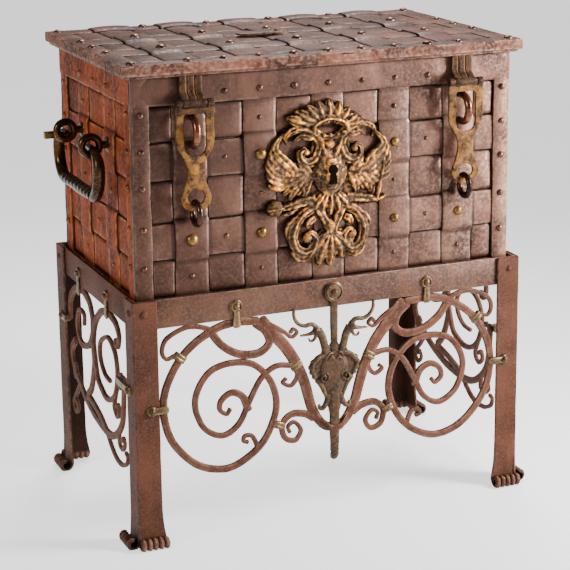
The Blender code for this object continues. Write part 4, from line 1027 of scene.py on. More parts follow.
class RivetTree:
    """Geometry Nodes that set a domed head on every point of a mesh, facing as the point says."""

    inputs = (("Points", "NodeSocketGeometry", None), ("Head Radius", FLOAT, 0.006),
              ("Head Height", FLOAT, 0.004), ("Uneven", FLOAT, 0.12), ("Seed", "NodeSocketInt", 7),
              ("Finish", "NodeSocketMaterial", None))

    def __init__(self) -> None:
        """Build the tree, with named inputs for the sizes of a head."""
        self.tree = bpy.data.node_groups.new("rivet_heads", "GeometryNodeTree")
        self.identifiers = {}
        for label, kind, value in self.inputs:
            socket = self.tree.interface.new_socket(label, in_out="INPUT", socket_type=kind)
            if value is not None:
                socket.default_value = value
            self.identifiers[label] = socket.identifier
        self.tree.interface.new_socket("Rivets", in_out="OUTPUT", socket_type="NodeSocketGeometry")
        nodes = Nodes(self.tree)
        given = nodes.add("NodeGroupInput").outputs
        head = nodes.add("GeometryNodeMeshUVSphere", {"Segments": 14, "Rings": 8, "Radius": 1.0})
        facing = nodes.add("GeometryNodeInputNamedAttribute", {"Name": "facing"}, data_type="FLOAT_VECTOR")
        turn = nodes.add("FunctionNodeAlignEulerToVector", {"Vector": facing.outputs["Attribute"]}, axis="Z")
        size = nodes.add("ShaderNodeCombineXYZ", {"X": given["Head Radius"], "Y": given["Head Radius"],
                                                  "Z": given["Head Height"]})
        low, high = (nodes.add("ShaderNodeMath", {0: 1.0, 1: given["Uneven"]}, operation=operation).outputs[0]
                     for operation in ("SUBTRACT", "ADD"))
        vary = nodes.add("FunctionNodeRandomValue", data_type="FLOAT")
        nodes.feed(vary, {2: low, 3: high, "Seed": given["Seed"]})
        scale = nodes.add("ShaderNodeVectorMath", operation="SCALE")
        nodes.feed(scale, {0: size.outputs[0], "Scale": vary.outputs[1]})
        spread = nodes.add("GeometryNodeInstanceOnPoints", {
            "Points": given["Points"], "Instance": head.outputs["Mesh"], "Rotation": turn.outputs["Rotation"],
            "Scale": scale.outputs[0]})
        real = nodes.add("GeometryNodeRealizeInstances", {"Geometry": spread.outputs["Instances"]})
        smooth = nodes.add("GeometryNodeSetShadeSmooth", {"Geometry": real.outputs["Geometry"]})
        coat = nodes.add("GeometryNodeSetMaterial", {"Geometry": smooth.outputs["Geometry"],
                                                     "Material": given["Finish"]})
        nodes.add("NodeGroupOutput", {"Rivets": coat.outputs["Geometry"]})

    def mesh(self, name: str, spots: Sequence[Spot], radius: float, height: float,
             finish: bpy.types.Material) -> bpy.types.Mesh:
        """Set heads on a list of places.

        Args:
            name: Name of the mesh.
            spots: Places and the way each faces.
            radius: Radius of a head.
            height: Height of a head.
            finish: Its material.

        Returns:
            A plain mesh.
        """
        points = bpy.data.meshes.new(name)
        points.from_pydata([tuple(spot) for spot, _ in spots], [], [])
        facing = points.attributes.new("facing", "FLOAT_VECTOR", "POINT")
        facing.data.foreach_set("vector", np.array([way[:] for _, way in spots], np.float32).ravel())
        holder = linked(name, points)
        modifier = holder.modifiers.new("rivets", "NODES")
        modifier.node_group = self.tree
        for label, value in (("Head Radius", radius), ("Head Height", height), ("Finish", finish)):
            modifier[self.identifiers[label]] = value
        return settled(holder)


class Shop:
    """Holds the finishes, and turns meshes into pieces that ride on the frame's bodies."""

    def __init__(self) -> None:
        """Make the finishes, and look up the body and the material slot of every solid."""
        record = frame["record"]
        effects = Effects()
        self.finishes = {finish.name: finish.make(effects) for finish in FINISHES}
        self.rivets = RivetTree()
        self.bodies = {node: body for body, nodes in record["behaviour"]["bodies"].items() for node in nodes}
        self.slots = {part["node"]: part["material_slot"] for part in record["subparts"]}

    def piece(self, name: str, mesh: bpy.types.Mesh, finish: str, nodes: Sequence[str] = (),
              body: Optional[str] = None, slot: Optional[str] = None) -> None:
        """Make a finished piece.

        Args:
            name: Its name.
            mesh: Its mesh, in the frame.
            finish: Name of its finish.
            nodes: The solids that it stands for.
            body: The body it rides on, where it stands for none.
            slot: Its material slot, where it stands for none; not used.
        """
        mesh.materials.clear()
        mesh.materials.append(self.finishes[finish])
        item = linked(name, mesh)
        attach(item, body or self.bodies[nodes[0]])
        if nodes:
            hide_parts(*nodes)
        slot or self.slots[nodes[0]]
        LOG.info("%s: %d faces", name, len(mesh.polygons))

    def forged(self, node: str, forge: Forge, finish: str) -> None:
        """Stand a forged shape in for a solid."""
        self.piece(f"{node}_forged", forge.mesh(node), finish, [node])

    def trim(self, name: str, forge: Forge, finish: str, body: str, slot: str) -> None:
        """Put a forged shape of its own on a body."""
        self.piece(name, forge.mesh(name), finish, body=body, slot=slot)

    def soften(self, finish: str, width: float, *nodes: str) -> None:
        """Stand softened copies in for plain solids."""
        for node in nodes:
            self.piece(f"{node}_forged", softened(node, width), finish, [node])

    def rivet(self, name: str, spots: Sequence[Spot], size: Pair, finish: str, body: str, slot: str) -> None:
        """Set rivet heads of one radius and height on a body."""
        mesh = self.rivets.mesh(name, spots, *size, self.finishes[finish])
        self.piece(name, mesh, finish, body=body, slot=slot)


# Strapwork

# Half of a strap's section, foot to middle: across, height, wear, and grime with painted shadow at the foot
STRAP_HALF = ((-1.0, 0.0, 0.0, 1.0), (-1.0, 0.5, 0.0, 1.0), (-0.985, 0.8, 0.35, 0.6),
              (-0.945, 0.97, 0.75, 0.05), (-0.8, 1.0, 0.1, 0.0), (-0.4, 1.0, 0.0, 0.0))
STRAP_SECTION = (*STRAP_HALF, (0.0, 1.0, 0.0, 0.0), *((-row[0], *row[1:]) for row in reversed(STRAP_HALF)))


@dataclass
class Strapwork:
    """Interlaced straps on one face: border, corner straps, cross bands and upright bands over them."""

    place: Place
    half_w: float
    low: float
    high: float
    columns: Sequence[float]
    rows: Sequence[float]
    corner_w: float
    top_w: float
    bottom_w: float
    border_t: float
    seed: int
    crown: float = 0.0011
    # painted shade: how much darker the straps grow towards the left of the face
    fade: float = 0.0
    pillow: float = 0.0030
    pillow_round: float = 0.006
    step: float = 0.004
    sway: float = 0.0011
    swell: float = 0.025
    lap: float = 0.004
    seam: float = 0.003
    rough: float = 0.0007

    def strap(self, forge: Forge, ends: Pair, centre: float, width: float, thick: float, upright: bool,
              rise: Callable[[float], float], tone: float, seams: Sequence[float] = (),
              rounded: float = 0.0) -> None:
        """Lay one strap.

        Args:
            forge: Collects it.
            ends: Where it starts and ends, along its run.
            centre: Its middle line, across its run.
            width: Its width.
            thick: Its thickness.
            upright: Whether it runs up and down.
            rise: Height of its underside above the plate, along its run.
            tone: How much darker it is.
            seams: Places along its run darkened with grime and painted shade, beside crossing straps.
            rounded: Length over which its ends round down to the plate.
        """
        start, end = ends
        count = max(6, int((end - start) / self.step))
        rings, dirt = [], []
        for i in range(count + 1):
            along = start + (end - start) * i / count
            sway = self.sway * noise.noise(Vector((along * 14, centre * 31, self.seed)))
            swell = 1 + self.swell * noise.noise(Vector((along * 23, centre * 17, self.seed + 5.0)))
            droop = max(0.0, 1 - min(along - start, end - along) / rounded) if rounded else 0.0
            ring = []
            for a, t, _, _ in STRAP_SECTION:
                across = centre + sway + a * swell * width / 2
                crown = self.crown * max(0.0, 1 - (a * 1.05) ** 2)
                out = rise(along) + t * (thick + crown) * (1 - 0.85 * droop ** 2)
                ring.append(self.place(across, out, along) if upright else self.place(along, out, across))
            rings.append(ring)
            # Darker at rounded ends, seams and bends: grime, and painted shade where straps cross and cells dip.
            dirt.append(max([droop, *(1 - abs(along - seam) / self.step for seam in seams)]))
        _, _, worn, grimed_and_shaded = zip(*STRAP_SECTION)
        forge.skin(rings, worn, grimed_and_shaded, tone, dirt=dirt)

    def over_rows(self, along: float) -> float:
        """Height of an upright band's underside, which is joggled over the cross bands."""
        reach = CROSS_BAND_W / 2 + JOGGLE
        return STRAP_T * max(eased((reach - abs(along - row)) / JOGGLE) for row in self.rows)

    def shade(self, value: float) -> float:
        """How much darker the strap at this place is."""
        return 0.5 + 0.5 * noise.noise(Vector((value * 37, self.seed * 3.3, 0.5)))

    def build(self) -> bpy.types.Mesh:
        """Lay the whole face.

        Returns:
            Its mesh.
        """
        forge = Forge(self.rough)
        flat = level(0.0)
        low, high = self.low + self.bottom_w, self.high - self.top_w
        self.cells(forge, self.half_w - self.corner_w, low, high)
        edges = [column + side * (BAND_W / 2 + self.seam) for column in self.columns for side in (-1, 1)]
        reach = self.half_w - self.lap / 2
        for row in self.rows:
            self.strap(forge, (-reach, reach), row, CROSS_BAND_W, STRAP_T, False, flat, self.shade(row),
                       edges)
        bends = [row + side * (CROSS_BAND_W / 2 + 0.75 * JOGGLE) for row in self.rows for side in (-1, 1)]
        bends += [low + self.lap / 2, high - self.lap / 2]
        for column in self.columns:
            self.strap(forge, (low - self.lap, high + self.lap), column, BAND_W, STRAP_T, True,
                       self.over_rows, self.shade(column), bends)
        for side in (-1, 1):
            self.strap(forge, (self.low + 0.001, self.high - 0.001), side * (self.half_w - self.corner_w / 2),
                       self.corner_w, self.border_t - 0.0002, True, flat, self.shade(side))
        for middle, width in ((self.high - self.top_w / 2, self.top_w),
                              (self.low + self.bottom_w / 2, self.bottom_w)):
            self.strap(forge, (-self.half_w, self.half_w), middle, width, self.border_t, False, flat,
                       self.shade(middle))
        # Darken the straps towards the left of the face, as painted shade.
        forge.tone = [tone + self.fade * (0.5 - 0.5 * vert.x / self.half_w)
                      for tone, vert in zip(forge.tone, forge.verts)]
        return forge.mesh("strapwork")

    def cells(self, forge: Forge, half_w: float, low: float, high: float) -> None:
        """Fill the cells between the straps with plates that the hammer has left slightly domed.

        Args:
            forge: Collects them.
            half_w: Half the width inside the border.
            low: Lower edge inside the border.
            high: Upper edge inside the border.
        """
        across = self.gaps(-half_w, half_w, self.columns, BAND_W)
        along = self.gaps(low, high, self.rows, CROSS_BAND_W)
        for i, (left, right) in enumerate(across):
            for k, (bottom, top) in enumerate(along):
                tone = 0.5 + 0.5 * noise.noise(Vector((i * 3.7, k * 5.1, self.seed * 2.9)))
                self.strap(forge, (bottom + 0.0005, top - 0.0005), (left + right) / 2, right - left - 0.001,
                           self.pillow, True, level(-0.0002), tone, rounded=self.pillow_round)

    @staticmethod
    def gaps(start: float, end: float, middles: Sequence[float], width: float) -> list[Pair]:
        """The free stretches between bands of one width."""
        marks = [start, *(middle + side * width / 2 for middle in sorted(middles) for side in (-1, 1)), end]
        return [(a, b) for a, b in zip(marks[::2], marks[1::2]) if b - a > 0.006]

    def out_at(self, across: float, up: float) -> float:
        """Find the straps' upper face.

        Args:
            across: Place across the face.
            up: Place up the face.

        Returns:
            Its height above the plate.
        """
        inside = self.low + self.bottom_w <= up <= self.high - self.top_w
        if not inside or abs(across) > self.half_w - self.corner_w:
            return self.border_t + self.crown
        if any(abs(across - column) < BAND_W / 2 for column in self.columns):
            return self.over_rows(up) + STRAP_T + self.crown
        on_row = any(abs(up - row) < CROSS_BAND_W / 2 for row in self.rows)
        return (STRAP_T if on_row else self.pillow) + self.crown

    def spot(self, across: float, up: float) -> Spot:
        """Find a place for a rivet, sunk a little into the strap.

        Args:
            across: Place across the face.
            up: Place up the face.

        Returns:
            The place, and the way it faces.
        """
        out = self.out_at(across, up) - 0.0004
        here = self.place(across, out, up)
        return here, (self.place(across, out + 1.0, up) - here).normalized()


@dataclass
class Chest:
    """The clad box: plates, strapwork, rivets and brass studs."""

    shop: Shop
    top_w: float = 0.049
    bottom_w: float = 0.036
    corner_w: float = 0.031
    upper_drop: float = 0.1425
    lower_drop: float = 0.278
    # painted shade on the front straps, darker towards the left
    front_fade: float = 1.2
    cartouche_half_w: float = 0.1
    top_rivets_at: float = 0.62
    corner_rivets_at: tuple = (0.06, 0.22, 0.38, 0.55, 0.70, 0.85)
    small_rivet: Pair = (0.0044, 0.0036)
    border_rivet: Pair = (0.0056, 0.0048)
    stud: Pair = (0.0098, 0.0078)

    def build(self) -> None:
        """Build the four faces with their rivets, and dress the plates."""
        for side in Side:
            work = self.face(side)
            rusty = "side_" if side is Side.LEFT else ""
            self.shop.piece(f"{side.value}_straps", work.build(), f"{rusty}strap_iron",
                            [f"{side.value}_strapwork"])
            self.shop.soften(f"{rusty}shell_iron", 0.0008, f"{side.value}_plate")
            self.rivet_face(side, work, f"{rusty}rivet_iron")
        self.shop.soften("shell_iron", 0.0008, "bottom_plate", "mouth_ledge")
        self.shop.soften("strap_iron", 0.0006, *(f"hinge_chest_leaf_{hand.word}" for hand in Hand))

    def face(self, side: Side) -> Strapwork:
        """Lay out the strapwork of one face.

        Args:
            side: Which face.

        Returns:
            Its strapwork.
        """
        shell_y = CHEST_HALF_D - 2 * STRAP_T
        shell_x = CHEST_HALF_W - 2 * STRAP_T
        places: dict[Side, Place] = {
            Side.FRONT: lambda a, o, u: Vector((a, -shell_y - o, u)),
            Side.BACK: lambda a, o, u: Vector((-a, shell_y + o, u)),
            Side.LEFT: lambda a, o, u: Vector((-shell_x - o, -a, u)),
            Side.RIGHT: lambda a, o, u: Vector((shell_x + o, a, u)),
        }
        long = side in (Side.FRONT, Side.BACK)
        return Strapwork(places[side], CHEST_HALF_W if long else shell_y, CHEST_BASE_Z, CHEST_TOP_Z,
                         spaced(5, FRONT_BAND_PITCH) if long else spaced(2, SIDE_BAND_PITCH),
                         [CHEST_TOP_Z - self.upper_drop, CHEST_TOP_Z - self.lower_drop], self.corner_w,
                         self.top_w, self.bottom_w, 2 * STRAP_T, seed=list(Side).index(side) + 1,
                         fade=self.front_fade if side is Side.FRONT else 0.0)

    def rivet_face(self, side: Side, work: Strapwork, finish: str) -> None:
        """Set the rivets of one face, on the front only beside the cartouche and below the hasps.

        Args:
            side: Which face.
            work: Its strapwork.
            finish: Finish of the iron rivets.
        """
        upper, lower = work.rows
        half = CROSS_BAND_W / 2
        lowest = (lower - half + work.low + work.bottom_w) / 2
        cells = [(work.high - work.top_w + upper + half) / 2, (upper + lower) / 2, lowest]
        gaps = between(work.columns)
        front = side is Side.FRONT
        hasped = (work.columns[0], work.columns[-1]) if front else ()
        small = [(column, up) for column in work.columns for up in cells]
        small += [(gap, row) for gap in gaps for row in work.rows]
        if front:
            small = [(x, up) for x, up in small
                     if abs(x) > self.cartouche_half_w and (x not in hasped or up <= lowest)]
        border = [(x, work.high - self.top_rivets_at * work.top_w) for x in [*work.columns, *gaps]
                  if x not in hasped]
        border += [(sign * (work.half_w - work.corner_w / 2), work.low + share * (work.high - work.low))
                   for sign in (-1, 1) for share in self.corner_rivets_at]
        rows = [(f"{side.value}_small_rivets", small, self.small_rivet, finish, "strap_iron"),
                (f"{side.value}_border_rivets", border, self.border_rivet, finish, "strap_iron")]
        if front:
            studs = [(x, row) for x in (-FRONT_BAND_PITCH, FRONT_BAND_PITCH) for row in work.rows]
            studs += [(x, lower) for x in hasped]
            rows.append(("brass_studs", studs, self.stud, "brass_stud", "gilt"))
        for name, spots, size, metal, slot in rows:
            self.shop.rivet(name, [work.spot(*spot) for spot in spots], size, metal, "chest", slot)


@dataclass
class Lid:
    """Stepped rim, top plate, strapwork with large rivets, lock and keyhole cover."""

    shop: Shop
    border_w: float = 0.040
    cross_pitch: float = 0.140
    crown: float = 0.0018
    tab_w: float = 0.076
    tab_t: float = 0.0050
    tab_round: float = 0.012
    edging_half_t: float = 0.0034
    edging_over: float = 0.0008
    edging_steps: int = 24
    rivet: Pair = (0.0088, 0.0056)
    border_rivet: Pair = (0.0078, 0.0050)

    def build(self) -> None:
        """Build the lid's pieces."""
        low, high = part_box("lid_plate")
        base = high.z + CLEAR
        work = Strapwork(lambda a, o, u: Vector((a, u, base + o)), high.x, low.y, high.y,
                         spaced(5, FRONT_BAND_PITCH), spaced(2, self.cross_pitch), self.border_w,
                         self.border_w, self.border_w, STRAP_T, seed=9, crown=self.crown)
        self.shop.piece("lid_straps", work.build(), "lid_iron", ["lid_strapwork"])
        tabs = Forge(work.rough)
        for column in work.columns:
            work.strap(tabs, (high.y - self.border_w - 0.010, high.y - 0.001), column, self.tab_w, self.tab_t,
                       True, level(STRAP_T - 0.0004), 0.4, rounded=self.tab_round)
        self.shop.trim("lid_back_tabs", tabs, "lid_iron", "lid", "lid_iron")
        self.shop.soften("lid_iron", 0.0010, "lid_plate")
        self.shop.soften("lid_iron", 0.0016, "lid_rim")
        self.shop.soften("lid_iron", 0.0010, "keyhole_cover")
        self.shop.soften("lock_steel", 0.0008, "lock_case", "lock_cover", "key_hub", "bolt_left",
                         "bolt_right", "bolt_front", "bolt_back")
        self.shop.soften("lid_iron", 0.0006, *(f"hinge_lid_leaf_{hand.word}" for hand in Hand))
        self.rivet_top(work)
        self.edging()

    def rivet_top(self, work: Strapwork) -> None:
        """Set the rivets of the top.

        Args:
            work: Its strapwork.
        """
        inset = 0.45 * self.border_w
        front, back = work.low + inset, work.high - inset
        crossings = [work.spot(x, y) for x in work.columns for y in work.rows]
        border = [work.spot(x, y) for x in [*work.columns, *between(work.columns)] for y in (front, back)]
        border += [work.spot(sign * (work.half_w - inset), y) for sign in (-1, 1)
                   for y in (front, work.rows[0], 0.5 * (work.low + work.high), work.rows[1], back)]
        self.shop.rivet("lid_rivets", crossings, self.rivet, "rivet_iron", "lid", "lid_iron")
        self.shop.rivet("lid_border_rivets", border, self.border_rivet, "rivet_iron", "lid", "lid_iron")

    def edging(self) -> None:
        """Bind the lid's edge with one smooth strip, above the step of the rim."""
        rim_low, rim_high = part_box("lid_rim")
        low = rim_low.z + 0.4 * (rim_high.z - rim_low.z)
        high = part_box("lid_plate")[1].z + CLEAR + STRAP_T + 0.0010
        half_t, half_h = self.edging_half_t, 0.5 * (high - low)
        middle = 0.5 * (rim_low + rim_high)
        reach = 0.5 * (rim_high - rim_low)
        inset = self.edging_over - half_t
        corners = [Vector(corner) for corner in ((-1, -1), (1, -1), (1, 1), (-1, 1))]
        section = squircle(20, 0.34)
        rings = []
        for corner, following in zip(corners, corners[1:] + corners[:1]):
            for i in range(self.edging_steps):
                spot = corner.lerp(following, i / self.edging_steps)
                way = corner if i == 0 else 0.5 * (corner + following)
                base = Vector((middle.x + spot.x * (reach.x + inset), middle.y + spot.y * (reach.y + inset),
                               0.5 * (low + high)))
                rings.append([base + Vector((way.x * d * half_t, way.y * d * half_t, e * half_h))
                              for d, e in section])
        forge = Forge(0.0005)
        forge.skin(rings, corner_marks(section), closed=True)
        self.shop.trim("lid_edging", forge, "edge_iron", "lid", "lid_iron")


# Stand

Bar = tuple[tuple[Pair, ...], float, float]
ACROSS = Vector((1, 0, 0))
UP = Vector((0, 0, 1))
TO_VIEWER = Vector((0, -1, 0))


def side_place(hand: Hand, face_x: float) -> Place:
    """Place (across, out, up) on a side, with out measured from a plane away from the middle."""
    return lambda across, out, up: Vector((hand.sign * (face_x + out), across, up))


@dataclass
class ScrollPanel:
    """Forged scrolls in a plane, and the collars round them."""

    place: Place
    flip: int = 1
    stout: float = 1.18
    snub: float = 0.25
    layer: float = 0.0001
    proud: float = 0.0004
    collar_lap: float = 0.0008
    collar_apart: float = 0.234
    collar_w: float = 0.53

    def lay(self, forge: Forge, bars: Sequence[Bar]) -> None:
        """Lay the bars with blunt tips, each a hair thinner than the last.

        Args:
            forge: Collects them.
            bars: Points in millimetres, with the widths at start and end.
        """
        for i, (points, start_w, end_w) in enumerate(bars):
            path = smooth_through(hung(points, self.flip), 7)
            last = len(path) - 1
            blunt = self.snub if end_w == SCROLL_TIP_W else 0.0
            widths = []
            for k in range(last + 1):
                swell = 1 + blunt * max(0.0, 1 - (last - k) / 4)
                widths.append((start_w + (end_w - start_w) * k / last) * swell * self.stout)
            forge.bar(path, widths, (self.layer * i - SCROLL_T, self.proud - self.layer * i), self.place)

    def collar(self, forge: Forge, centre: Pair, slope_deg: float) -> None:
        """Clench two bands side by side round bars that touch.

        Args:
            forge: Collects them.
            centre: The middle between them, in millimetres.
            slope_deg: Slope of the bars there.
        """
        turn = math.radians(slope_deg) * self.flip
        run = Vector((math.cos(turn), math.sin(turn)))
        across = Vector((-run[1], run[0])) * (SCROLL_W / 2 + CLIP_T + self.collar_lap)
        for way in (-1, 1):
            spot = Vector(hung([centre], self.flip)[0]) + run * way * self.collar_apart * CLIP_W
            forge.bar([spot - across, spot, spot + across], [self.collar_w * CLIP_W] * 3,
                      (-SCROLL_T - 0.0012, 0.0021), self.place, 0.6)


# Bars of the scrolls: points in millimetres from the middle and the rail's lower edge, first and last width
FRONT_BARS: tuple[Bar, ...] = (
    (((-140, -9), (-185, -7), (-225, -17), (-270, -47), (-301, -91), (-313, -141), (-300, -200), (-257, -250),
      (-205, -267), (-160, -252), (-127, -220), (-108, -170), (-116, -124), (-146, -88), (-185, -78),
      (-225, -86), (-250, -115), (-256, -150), (-240, -188), (-208, -206), (-178, -190), (-158, -152),
      (-135, -113), (-108, -95), (-80, -97)), SCROLL_W, TENDRIL_W),
    (((-160, -166), (-170, -141), (-190, -131), (-209, -142), (-212, -158), (-200, -168), (-193, -160)),
     SCROLL_W, SCROLL_TIP_W),
    (((-142, -241), (-148, -225), (-155, -214), (-167, -213), (-170, -222), (-162, -225)),
     TENDRIL_W, SCROLL_TIP_W),
    (((-222, -16), (-249, -6), (-275, -6), (-304, -20), (-313, -40), (-306, -55), (-290, -51)),
     TENDRIL_W, SCROLL_TIP_W),
    (((-226, -18), (-206, -44), (-175, -64), (-140, -67), (-120, -52), (-126, -30), (-144, -14)),
     SCROLL_W, SCROLL_W),
    (((-134, -10), (-115, -33), (-81, -75), (-57, -125), (-42, -177), (-27, -206), (-12, -219), (-1, -219)),
     NECK_W, SCROLL_W),
    (((-132, -12), (-111, -24), (-94, -34), (-82, -44)), SCROLL_W, SCROLL_TIP_W),
    (((-83, -45), (-75, -46), (-68, -39), (-75, -32), (-80, -38)), SCROLL_TIP_W, SCROLL_TIP_W),
    (((-38, -199), (-55, -189), (-80, -187), (-97, -203), (-92, -228), (-72, -235), (-62, -218), (-74, -202),
      (-86, -208), (-83, -219)), SCROLL_W, SCROLL_TIP_W),
    (((-68, -100), (-68, -119), (-80, -134), (-95, -127), (-89, -120)), TENDRIL_W, SCROLL_TIP_W))
SIDE_BARS: tuple[Bar, ...] = (
    (((-60, -8), (-22, -19), (9, -41), (26, -68), (31, -96), (13, -149), (-9, -164), (-39, -172), (-69, -165),
      (-94, -144), (-107, -104), (-91, -69), (-55, -56), (-12, -77), (-8, -108), (-32, -130), (-62, -134)),
     SCROLL_W, SCROLL_TIP_W),
    (((-60, -8), (-103, -16), (-120, -34), (-114, -56), (-102, -56), (-102, -46)), SCROLL_W, SCROLL_TIP_W),
    (((-92, -148), (-82, -174), (-97, -188), (-110, -176), (-104, -164), (-96, -170)),
     TENDRIL_W, SCROLL_TIP_W),
    (((175, -82), (168, -44), (134, -16), (92, -8), (52, -18), (33, -43), (33, -70), (34, -100), (31, -130),
      (52, -179), (74, -200)), SCROLL_W, SCROLL_W),
    (((34, -76), (58, -102), (98, -113), (124, -100), (130, -74), (112, -50), (84, -52), (86, -72)),
     SCROLL_W, SCROLL_TIP_W),
    (((146, -118), (172, -144), (158, -176), (118, -199), (79, -217), (32, -230), (-29, -237), (-74, -231),
      (-111, -207), (-132, -173), (-140, -104)), SCROLL_W, SCROLL_W),
    (((78, -204), (47, -208), (8, -218), (-29, -234), (-51, -252), (-80, -268), (-116, -270), (-145, -258),
      (-150, -243), (-140, -240)), SCROLL_W, SCROLL_TIP_W),
    (((-108, -208), (-104, -234), (-122, -240), (-136, -228), (-129, -217), (-121, -225)),
     TENDRIL_W, SCROLL_TIP_W),
    (((125, -196), (150, -222), (171, -244), (158, -260), (144, -248), (152, -236), (160, -244)),
     TENDRIL_W, SCROLL_TIP_W),
    (((-103, -122), (-122, -128), (-134, -114), (-124, -103), (-116, -112)), TENDRIL_W, SCROLL_TIP_W),
    (((136, -186), (154, -190), (164, -178), (154, -166), (145, -174)), TENDRIL_W, SCROLL_TIP_W))


@dataclass
class Stand:
    """Legs with rolled feet, rails, scroll panels, pendant and clips."""

    shop: Shop
    foot_roll_r: float = 0.012
    foot_flare_z: float = 0.075
    foot_flare: Pair = (0.002, 0.007)
    shaft_steps: int = 26
    ankle_z: tuple = (0.064, 0.054, 0.044, 0.034, 0.026, 0.020)
    roll_steps: int = 30
    roll_step_deg: float = 9.0
    roll_open_steps: int = 13
    roll_curl: float = 0.0006
    lanes: int = 50
    flutes: int = 5
    flute_depth: float = 0.0044
    leg_rivet: Pair = (0.0062, 0.0040)
    leg_rivet_in: float = 0.020
    leg_rivet_drop: float = 0.021
    rail_clip_x: float = 0.180
    clip_head_in: float = 0.0144
    side_rail_clips_y: Pair = (-0.068, 0.098)
    side_leg_clips: tuple = ((-1, 0.108, 0.047), (1, 0.082, 0.012))
    front_bars: tuple[Bar, ...] = FRONT_BARS
    front_collars: tuple = (((-282, -56), 55), ((-70, -98), -64), ((-105, -202), 70))
    side_bars: tuple[Bar, ...] = SIDE_BARS

    def build(self) -> None:
        """Build every piece of the stand."""
        rivets = [spot for end in (Side.FRONT, Side.BACK) for hand in Hand for spot in self.leg(end, hand)]
        self.shop.rivet("leg_rivets", rivets, self.leg_rivet, "stand_iron", "stand", "stand_iron")
        self.shop.soften("rail_iron", 0.0009, "rail_front", "rail_back")
        self.shop.soften("stand_iron", 0.0009, "rail_left", "rail_right")
        self.build_front()
        self.build_sides()

    def leg(self, end: Side, hand: Hand) -> list[Spot]:
        """Build one angle leg.

        Args:
            end: Front or back.
            hand: Left or right.

        Returns:
            Where its two rivets sit, and the way each faces.
        """
        sx, sy = hand.sign, -1 if end is Side.FRONT else 1
        node = f"leg_{end.value}_{hand.word}"
        forge = Forge(0.0005)
        self.flange(forge, lambda out, e, z: Vector((sx * (STAND_HALF_W - e), sy * (STAND_HALF_D + out), z)))
        self.flange(forge, lambda out, e, z: Vector((sx * (STAND_HALF_W + out), sy * (STAND_HALF_D - e), z)))
        self.shop.forged(node, forge, "stand_iron")
        z = STAND_TOP_Z - self.leg_rivet_drop
        inset = self.leg_rivet_in
        return [(Vector((sx * (STAND_HALF_W - inset), sy * STAND_HALF_D, z)), Vector((0, sy, 0))),
                (Vector((sx * STAND_HALF_W, sy * (STAND_HALF_D - inset), z)), Vector((sx, 0, 0)))]

    def flange(self, forge: Forge, place: Place) -> None:
        """Forge one flange of a leg, which rolls outwards into a fluted foot.

        Args:
            forge: Collects it.
            place: Puts (out, from the corner, up) into the frame.
        """
        roll, lanes = self.foot_roll_r, self.lanes
        centre = Vector((roll - LEG_T / 2, roll + LEG_T / 2))
        shaft = STAND_TOP_Z - self.foot_flare_z
        heights = [STAND_TOP_Z - shaft * i / self.shaft_steps for i in range(self.shaft_steps + 1)]
        path = [Vector((-LEG_T / 2, z)) for z in (*heights, *self.ankle_z)]
        first_rolled = len(path)
        for i in range(self.roll_steps):
            radius = roll - self.roll_curl * max(0, i - self.roll_open_steps)
            angle = math.radians(180 + self.roll_step_deg * i)
            path.append(centre + radius * Vector((math.cos(angle), math.sin(angle))))
        rings = []
        for i, (point, _, normal) in enumerate(framed(path)):
            flare = held((self.foot_flare_z - point[1]) / (self.foot_flare_z - centre[1])) ** 2
            start, end = CLEAR - self.foot_flare[0] * flare, LEG_W + self.foot_flare[1] * flare
            rolled = held((i - first_rolled + 1) / 7)
            outer, inner = [], []
            for k in range(lanes + 1):
                across = start + (end - start) * k / lanes
                flute = rolled * self.flute_depth * (self.ridge(k) ** 0.6 - 0.72)
                half_t = LEG_T / 2 - 0.0008 * (k in (0, lanes))
                out, back = point + normal * half_t, point - normal * (half_t + flute)
                outer.append(place(out[0], across, out[1]))
                inner.append(place(back[0], across, max(back[1], 0.0006)))
            rings.append(outer + inner[::-1])
        edge = [1.0 if k in (0, lanes) else 0.0 for k in range(lanes + 1)]
        # no marks outside, and the inner faces of the angle darkened as painted shade
        forge.skin(rings, edge + edge[::-1], [0.0] * (lanes + 1) + [0.85] * (lanes + 1))
        self.mark_flutes(forge, len(rings) - first_rolled)

    def ridge(self, lane: int) -> float:
        """How near a lane of a foot lies to the ridge of its flute."""
        return abs(math.sin(math.pi * self.flutes * lane / self.lanes))

    def mark_flutes(self, forge: Forge, count: int) -> None:
        """Mark the ridges of a foot's flutes as worn, the grooves with grime and painted shade, and the inside of
        the roll as painted shade.

        Args:
            forge: Holds the foot's rings as its last points.
            count: Number of these rings.
        """
        size = 2 * (self.lanes + 1)
        for first in range(len(forge.verts) - count * size, len(forge.verts), size):
            for k in range(self.lanes + 1):
                ridge, outside = self.ridge(k), first + size - 1 - k
                forge.edge[outside] = max(forge.edge[outside], 0.95 * ridge ** 2)
                forge.hollow[outside] = 0.8 * (1 - ridge) ** 3
                # the inside of the roll darkened as painted shade
                forge.hollow[first + k] = 0.95

    def build_front(self) -> None:
        """Build the two front scrolls, their clips and the pendant between them."""
        place = front_place(-(STAND_HALF_D - LEG_T - CLEAR))
        for hand in Hand:
            panel = ScrollPanel(place, -hand.sign)
            forge, collars = Forge(0.0007), Forge(0.0004)
            panel.lay(forge, self.front_bars)
            for centre, slope in self.front_collars:
                panel.collar(collars, centre, slope)
            node = f"front_scroll_{hand.word}"
            self.shop.forged(node, forge, "stand_iron")
            self.shop.trim(f"{node}_collars", collars, "clip_iron", "stand", "clip_iron")
            self.clip_rail(hand, place)
            self.clip_leg(hand)
        Pendant(self.shop, place).build()

